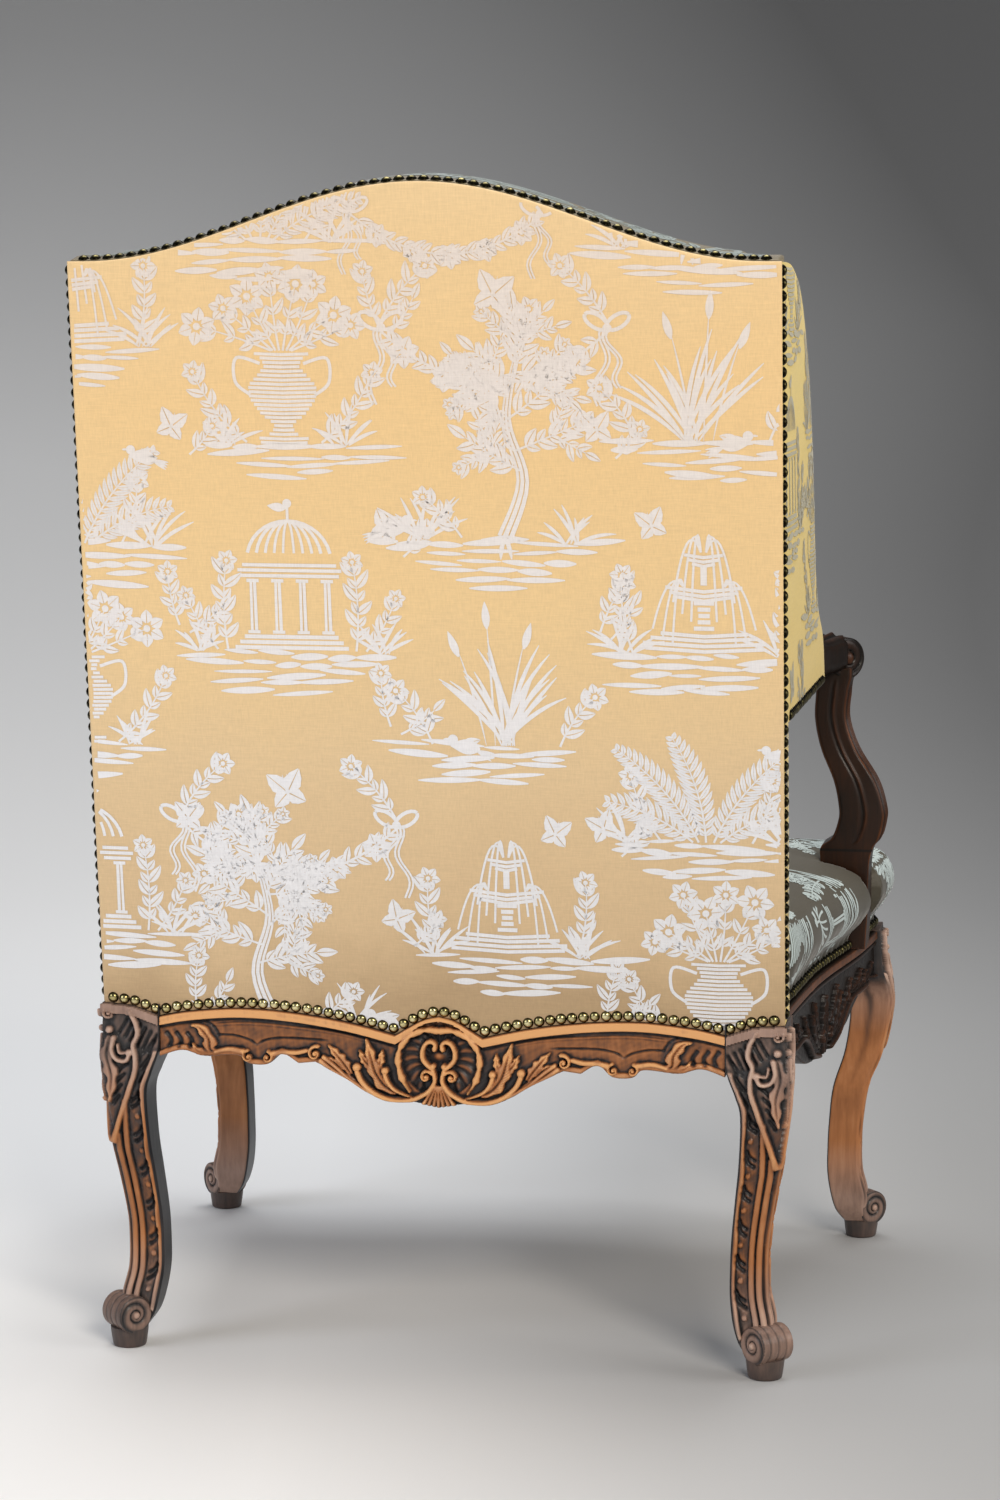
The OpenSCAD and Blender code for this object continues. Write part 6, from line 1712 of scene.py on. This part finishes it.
def pavilion_islet(f):
    """A small garden house on steps, with a domed roof."""
    f.ground(0, -10, 176, 5)
    f.bars([(46 - 4 * k, -4 + 4.4 * k) for k in range(3)], 3.2)
    for k in range(4):
        x = -30 + 20 * k
        f.band([(x - 1.9, 8), (x - 1.5, 50)], 2.6)
        f.band([(x + 1.7, 8), (x + 1.4, 50)], 2.2)
        f.band([(x - 5, 8.6), (x + 5, 8.6)], 2.6)
        f.band([(x - 5, 50), (x + 5, 50)], 2.8)
    f.bars(((40, 54), (42, 58.4), (38, 62.6)), 2.8)
    for k in range(5):
        a = np.linspace(0, np.pi, 17)
        f.band(np.stack([(34 - 7.4 * k) * np.cos(a), 66 + 32 * np.sin(a)], 1)[1:-1], 2.8 - 0.2 * k)
    f.band([(0, 98), (0, 110)], 2.2)
    f.disc(0, 112, 3.6)
    f.leaf(1, 108, 15, 8, 7, gap=0.0)
    for s in (-1, 1):
        f.spray(s * 52, -6, 72, 90 - s * 8, s * 18, 6, 16, 9)
        f.spray(s * 60, -6, 50, 90 - s * 40, s * 20, 4, 14, 8)
        f.grass(s * 74, -8, 30, 8)


def fountain_islet(f):
    """A fountain with two basins and its jets."""
    f.ground(0, -8, 150, 5)
    f.bars(((46, 0), (48, 4.2), (42, 8.4), (34, 12.0)), 3.0, 2.4)
    f.bars(((8, 16), (5, 21), (4.4, 26), (5, 31), (8, 36)), 3.4)
    f.bars(((22, 41), (27, 44.6), (30, 48.4)), 2.8, 3.4)
    f.band([(0, 50), (0, 66)], 5.0)
    f.bars(((9, 67), (13, 70.4), (15, 74)), 2.6, 2)
    for s in (-1, 1):
        for w, h in ((22, 26), (15, 32), (8, 36)):
            u = np.linspace(0, 1, 11)
            f.band(np.stack([s * (2 + w * u), 76 + 4 * h * u * (0.62 - u)], 1), 1.8)
            f.band(np.stack([s * (16 + 1.1 * w * u), 49 + 2.6 * h * u * (0.5 - u)], 1), 1.7)
        f.spray(s * 56, -4, 62, 90 - s * 20, s * 26, 5, 16, 10)
        f.grass(s * 62, -6, 40, 9)
    f.butterfly(40, 96, 17, -14)


# height of the figure above its ground, and how far its wefts stand in the bump
FIGURE_LIFT, WEFT_LIFT = 0.22, 0.00018
GROUPS = (tree_islet, garland_group, pavilion_islet, vase_islet, fern_islet, fountain_islet, reed_islet)


def half_drop(seed, x0, x1, y0, y1, across=206, rise=194, scale=1.22, first=0):
    """Groups of the figure over a panel, each column half a step above the last."""
    bands = []
    for c, x in enumerate(np.arange(x0, x1, across)):
        for r, y in enumerate(np.arange(y0 + 0.5 * rise * (c % 2), y1, rise)):
            stretch = [-scale if (c + r) % 2 else scale, scale]
            f = Figure(seed + 100 * c + r)
            GROUPS[(first + 2 * c + r) % len(GROUPS)](f)
            shift = [x, y] + f.r.uniform(-8, 8, 2)
            bands += [b * stretch + shift for b in f.bands]
            # a small filling between the columns
            g = Figure(seed + 5000 + 100 * c + r)
            if (c + r) % 2:
                g.butterfly(0, 0, 17, g.r.uniform(-30, 30))
                g.spray(14, -22, 30, 40, 20, 3, 13, 8)
            else:
                g.spray(0, 0, 44, g.r.uniform(60, 120), 20, 4, 14, 9)
                g.spray(-8, -6, 34, g.r.uniform(130, 170), -20, 3, 13)
            bands += [b * stretch + [x + 0.5 * across, y + 0.10 * rise] for b in g.bands]
    return bands


def finer(b, most=7.0):
    """Splits the long steps of a band, so that it follows a curved surface."""
    d = np.linalg.norm(np.diff(b.mean(1), axis=0), axis=1)
    n = np.maximum(1, np.ceil(d / most).astype(int))
    if n.max() == 1:
        return b
    out = [b[k] + (b[k + 1] - b[k]) * (j / n[k]) for k in range(len(b) - 1) for j in range(n[k])]
    return np.array(out + [b[-1]])


def lay_figure(name, bands, place, material, slot, side=1):
    """Lays bands on a surface. place turns cloth coordinates to points, and says which are on the panel."""
    bands = [finer(b) for b in bands]
    flat = np.concatenate([b.reshape(-1, 2) for b in bands])
    pts, ok = place(flat)
    # where shapes cross, each lies a little above the last
    level = np.repeat(np.arange(len(bands)) % 12, [2 * len(b) for b in bands])
    pts = pts + 0.028 * level[:, None] * place.facing(pts)
    at, faces = 0, []
    for b in bands:
        i = at + 2 * np.arange(len(b) - 1)
        faces.append(np.stack([i, i + 1, i + 3, i + 2], -1))
        at += 2 * len(b)
    faces = np.concatenate(faces)
    faces = faces[ok[faces].all(1)]
    used = np.unique(faces)
    new = np.full(len(flat), -1)
    new[used] = np.arange(len(used))
    faces, pts = new[faces], pts[used]
    # every face turns the same way as its surface
    q = pts[faces]
    nrm = np.cross(q[:, 2] - q[:, 0], q[:, 3] - q[:, 1])
    size = np.linalg.norm(nrm, axis=1)
    out = place.facing(q.mean(1))
    flip = (nrm * out).sum(1) < 0
    faces[flip] = faces[flip][:, ::-1]
    faces = faces[size > 1e-3]
    piece = Piece(name)
    piece.add(pts, faces, 0.5, place.facing(pts[:1])[0])
    return piece.make(material, slot, side, replaces=())


class Flat:
    """A panel with a formula for its surface: point and inside take places on the cloth."""

    def __init__(self, point, inside, facing):
        self.point, self.inside, self.out = point, inside, np.asarray(facing, float)

    def __call__(self, q):
        return self.point(q[:, 0], q[:, 1]), self.inside(q[:, 0], q[:, 1])

    def facing(self, p):
        """The outward direction at each point."""
        return np.broadcast_to(self.out, p.shape)


class Draped:
    """A panel found by looking straight at a padded form, where it isn't too steep."""

    def __init__(self, grid, origin, toward, keep, steep=0.42, lift=0.3):
        k, n = grid.shape[:2]
        self.tree = bvh_of(grid.reshape(-1, 3), grid_faces(k, n, wrap_v=True))
        self.origin, self.toward, self.keep = origin, Vector(toward).normalized(), keep
        self.steep, self.lift = steep, lift

    def __call__(self, q):
        start = self.origin(q[:, 0], q[:, 1])
        pts, ok = np.zeros((len(q), 3)), np.zeros(len(q), bool)
        for k, p in enumerate(start):
            hit, nrm, _, _ = self.tree.ray_cast(Vector(p), self.toward, 900)
            if hit is None:
                continue
            nrm = nrm if nrm.dot(self.toward) < 0 else -nrm
            p = hit + nrm * self.lift
            pts[k] = p
            ok[k] = -nrm.dot(self.toward) > self.steep and self.keep(q[k, 0], q[k, 1], p)
        return pts, ok

    def facing(self, p):
        """The outward direction at each point."""
        return np.broadcast_to(-np.asarray(self.toward), p.shape)


# The figure's wefts are silk too, but float longer over the ground, so they are smoother and shine more.
# The outside of the back's are ivory, painted warmer towards the crest as painted light
ivory_stops = [(0.0, "#dfdfe1"), (0.30, "#e6e6e9"), (0.60, "#e6e0dc"), (1.0, "#e3d6ca")]
ivory = silk("figure_ivory", ivory_stops, BACK_LIGHT, 0.35, 0.42, WEFT_LIFT)
# The outside wings' are the same ivory, painted grey as painted shade
shaded_ivory = silk("figure_ivory_shaded", [(0.0, "#b0a887"), (1.0, "#c2ba99")], WING_LIGHT, 0.3, 0.45, WEFT_LIFT)
# The seat's and the inside's are pale blue, and those of the border over the back are painted duller and
# darker as painted shade
pale_blue = silk("figure_pale_blue", [(0.0, "#b4c2c0"), (1.0, "#c8d4d1")], SEAT_LIGHT, 0.3, 0.45, WEFT_LIFT)
border_blue = silk("figure_blue_shaded", [(0.0, "#8b9692"), (1.0, "#98a39f")], BACK_LIGHT, 0.3, 0.45, WEFT_LIFT)

# Outside of the back
back_bands = half_drop(11, -270, 420, -20, 930, first=3)
swag = Figure(17)
swag.garland(64, 784, -116, 780, 36, 14)
back_bands += swag.bands


def on_cover(u, v):
    """Whether a place is on the outside of the back, clear of the cover's edges."""
    return (np.abs(u) < BACK_HALF - 2.5) & (v > cover_foot(u) + 1.5) & (v < crest_h(u) - 1.5)


back_panel = Flat(lambda u, v: on_back(u, v, back_surface(u, v) + FIGURE_LIFT), on_cover, out_dir)
fig = lay_figure("outside_back_figure", back_bands, back_panel, ivory, "gold_silk")

# Inside of the back, and the border over it, whose bulge is as wide as the border
inside = Draped(pad_grid, lambda u, v: on_back(u, v, -240.0), out_dir, lambda u, v, p: v > 60)
lay_figure("inside_back_figure", half_drop(37, -330, 400, 40, 900), inside, pale_blue, "seat_silk")


def border_point(u, v):
    """A place on the border: u across, v forward from the back's face."""
    width = np.where(np.abs(u) < 300, 57.5, 39.4)
    return on_back(u, crest_h(u) + 1.25 + 1.3 * np.abs(np.sin(np.pi * v / width)) ** 0.6, -2.3 - v)


border = Flat(border_point,
              lambda u, v: (np.abs(u) < 334) & (v > 12) & (v < np.where(np.abs(u) < 300, 54, 36)), up_dir)
lay_figure("top_border_figure", half_drop(53, -300, 360, -60, 160), border, border_blue, "seat_silk")


# Wings and posts: u forward from the back's face, v the height
def wing_point(u, v):
    """A place on the outside of a wing."""
    y0 = back_y(v) - 2 / math.cos(LEAN)
    y = y0 - u
    y1 = np.interp(-v, -wing_edge[:, 1], wing_edge[:, 0])
    return np.stack([wing_out(y, v, y0, y1) + FIGURE_LIFT, y, v], -1)


def wing_inside(u, v):
    """Whether a place is between the nails and the wing's front edge."""
    y = back_y(v) - 2 / math.cos(LEAN) - u
    edge = np.interp(-v, -wing_edge[:, 1], wing_edge[:, 0]) + 3
    return (u > 13) & (y > edge) & (v > ARM_Z + 2) & (v < SHOULDER - 3)


wing_panel = Flat(wing_point, wing_inside, (1, 0, 0))
post_panel = Flat(lambda u, v: on_back(341.4 + 0 * u, (v - RAIL_TOP) / math.cos(LEAN), -2.4 - u),
                  lambda u, v: (u > 11) & (u < 38) & (v > RAIL_TOP + 8) & (v < ARM_Z - 4), (1, 0, 0))
wing_inner = Draped(wing_grid, lambda u, v: np.stack([0 * u + 150, back_y(v) - 46 - u, v], -1), (1, 0, 0),
                    lambda u, v, p: True)
wing_bands = half_drop(71, 60, 460, 640, 1150, first=1)
inner_bands = half_drop(83, 40, 460, 700, 1150, first=3)
post_sprays = Figure(97)
for h in range(375, 640, 62):
    post_sprays.spray(26, h, 44, 84 + 12 * math.sin(h), 16, 4, 13, 7)
for side, name in SIDES:
    fig = lay_figure("outside_wing_figure_" + name, wing_bands, wing_panel, shaded_ivory, "gold_silk", side)
    fig = lay_figure("post_figure_" + name, post_sprays.bands, post_panel, shaded_ivory, "gold_silk", side)
    lay_figure("inside_wing_figure_" + name, inner_bands, wing_inner, pale_blue, "seat_silk", side)

# Seat: one width of cloth runs over the top and down the front and sides, which part at the crown's edge
SEAT_STEEP, NAILS_CLEAR, SUPPORT_CLEAR = 0.708, RAIL_TOP + 13, 34
seat_bands = half_drop(131, -400, 500, -700, -20, across=200, rise=186, scale=1.15)


def bands_in(x0, x1, y0, y1):
    """The seat's bands that reach into a rectangle of the cloth."""
    low, high = np.array([x0, y0]), np.array([x1, y1])
    return [b for b in seat_bands if (b.max((0, 1)) > low).all() and (b.min((0, 1)) < high).all()]


def off_supports(u, v, p):
    """Whether a place on top of the seat is clear of the arm supports."""
    return abs(p[1] - SUPPORT_Y) > SUPPORT_CLEAR or abs(p[0]) < support_foot - 56


def above_nails(u, v, p):
    """Whether a place on the seat's sides is above the nails and clear of the arm supports."""
    return p[2] > NAILS_CLEAR and abs(p[1] - SUPPORT_Y) > SUPPORT_CLEAR


top_face = Draped(seat_grid, lambda u, v: np.stack([u, v, 0 * u + 700], -1), (0, 0, -1),
                  off_supports, SEAT_STEEP)
front_face = Draped(seat_grid, lambda u, v: np.stack([u, 0 * u - 900, v + 1065], -1), (0, 1, 0),
                    above_nails, SEAT_STEEP)
lay_figure("seat_figure_top", bands_in(-400, 400, -640, -60), top_face, pale_blue, "seat_silk")
lay_figure("seat_figure_front", bands_in(-400, 400, -720, -600), front_face, pale_blue, "seat_silk")
for side, name in SIDES:
    wall = Draped(seat_grid, lambda u, v, s=side: np.stack([0 * u + 600 * s, v, 825 - s * u], -1),
                  (-side, 0, 0), above_nails, SEAT_STEEP)
    wall_bands = bands_in(*sorted((side * 350, side * 470)), -640, -60)
    lay_figure("seat_figure_" + name, wall_bands, wall, pale_blue, "seat_silk")

# Frame timbers kept from the CAD model
for part in (
        "crest_rail", "stuffing_rail", "wing_board_left", "wing_board_right", "corner_blocks", "joint_pegs"):
    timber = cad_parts[part]
    if not timber.material_slots:
        timber.data.materials.append(beech)
    for place in timber.material_slots:
        place.material = beech


# Studio
def paper():
    """Pale studio paper, a matt grey painted deeper with height and towards -x, and darker still on the floor
    on that side: painted light and painted shadow.
    """
    material, tree, surface, place = new_material("backdrop", Roughness=0.9, Specular_IOR_Level=0.1)
    where = node(tree, "SeparateXYZ", {"Vector": place}).outputs
    depth = node(tree, "Math", {0: where["Y"], 1: 0.18, 2: where["X"]}, operation="MULTIPLY_ADD")
    sides = node(tree, "Math", {0: depth, 1: depth}, operation="MULTIPLY")
    sides = node(tree, "Math", {0: sides, 1: 0.12, 2: 0.04}, operation="MULTIPLY_ADD")
    across = node(tree, "Math", {0: depth, 1: -0.33, 2: sides}, operation="MULTIPLY_ADD")
    near = node(tree, "MapRange", {
        "Value": depth, "From Min": 0.35, "From Max": -0.6, "To Max": 0.42}, interpolation_type="SMOOTHSTEP")
    low = node(tree, "MapRange", {
        "Value": where["Z"], "From Min": 1.0, "From Max": 0.1}, interpolation_type="SMOOTHSTEP")
    across = node(tree, "Math", {0: near, 1: low, 2: across}, operation="MULTIPLY_ADD")
    deep = node(tree, "Math", {0: where["Z"], 1: 0.31, 2: across}, operation="MULTIPLY_ADD")
    greys = [(0.0, "#f2f2f2"), (0.35, "#c6c6c6"), (0.70, "#a2a2a2"), (1.0, "#848484")]
    join(tree, surface, {"Base Color": node(tree, "ValToRGB", {"Fac": deep}, greys)})
    return material


def sweep(flat=2.6, curve=8.0, sides=96):
    """The paper as a wide bowl, in metres: flat under the chair, then curved up on all sides."""
    profile = [(0.01, 0)] + [(r, 0) for r in np.linspace(0.4, flat, 6)]
    for a in np.linspace(0.03, math.pi / 2, 40):
        profile.append((flat + curve * math.sin(a), curve - curve * math.cos(a)))
    turns = [2 * math.pi * k / sides for k in range(sides)]
    verts = [(float(r * math.cos(a)), float(r * math.sin(a)), float(z)) for r, z in profile for a in turns]
    faces = grid_faces(len(profile), sides, wrap_v=True).tolist() + [list(range(sides))]
    mesh = bpy.data.meshes.new("studio_floor")
    mesh.from_pydata(verts, [], faces)
    mesh.polygons.foreach_set("use_smooth", [True] * len(mesh.polygons))
    mesh.materials.append(paper())
    bowl = bpy.data.objects.new("studio_floor", mesh)
    bpy.context.scene.collection.objects.link(bowl)
    return bowl


def area_light(name, where, target, size, power, colour="#ffffff"):
    """A soft lamp turned towards a point, with its power in watts."""
    data = bpy.data.lights.new(name, "AREA")
    data.shape, data.size, data.size_y, data.energy = "RECTANGLE", size[0], size[1], power
    data.color = srgb(colour)[:3]
    ob = bpy.data.objects.new(name, data)
    ob.location = where
    ob.rotation_euler = (Vector(target) - Vector(where)).to_track_quat("-Z", "Y").to_euler()
    bpy.context.scene.collection.objects.link(ob)
    return ob


bowl = sweep()
key = area_light("key", (-2.6, 4.6, 3.4), (0, 0, 0.6), (2.2, 1.8), 210, "#fff6ea")
fill = area_light("fill", (3.8, 2.8, 2.2), (0, 0, 0.6), (2.4, 2.0), 70, "#eef3ff")
side_lamp = area_light("side", (-4.4, 0.4, 2.0), (0, 0, 0.6), (2.4, 2.0), 55)
top = area_light("top", (0, -1.0, 4.6), (0, 0, 0.5), (3.0, 3.0), 120)
world = bpy.data.worlds.new("studio")
bpy.context.scene.world = world
world.use_nodes = True
world.node_tree.nodes["Background"].inputs["Color"].default_value = srgb("#b9bcc0")
world.node_tree.nodes["Background"].inputs["Strength"].default_value = 0.55
scene = bpy.context.scene
scene.view_settings.view_transform = "Standard"

# Camera, fitted to the photo
cam_data = bpy.data.cameras.new("photo_camera")
cam_data.sensor_fit = "VERTICAL"
cam_data.sensor_height = 36.0
cam_data.lens = 91.4
cam_data.clip_end = 100
camera = bpy.data.objects.new("photo_camera", cam_data)
camera.location = (-0.7176, 3.8751, 1.0878)
yaw, pitch = 0.18, 0.1275
look = Vector((math.sin(yaw) * math.cos(pitch), -math.cos(yaw) * math.cos(pitch), -math.sin(pitch)))
camera.rotation_euler = look.to_track_quat("-Z", "Y").to_euler()
scene.collection.objects.link(camera)
scene.camera = camera
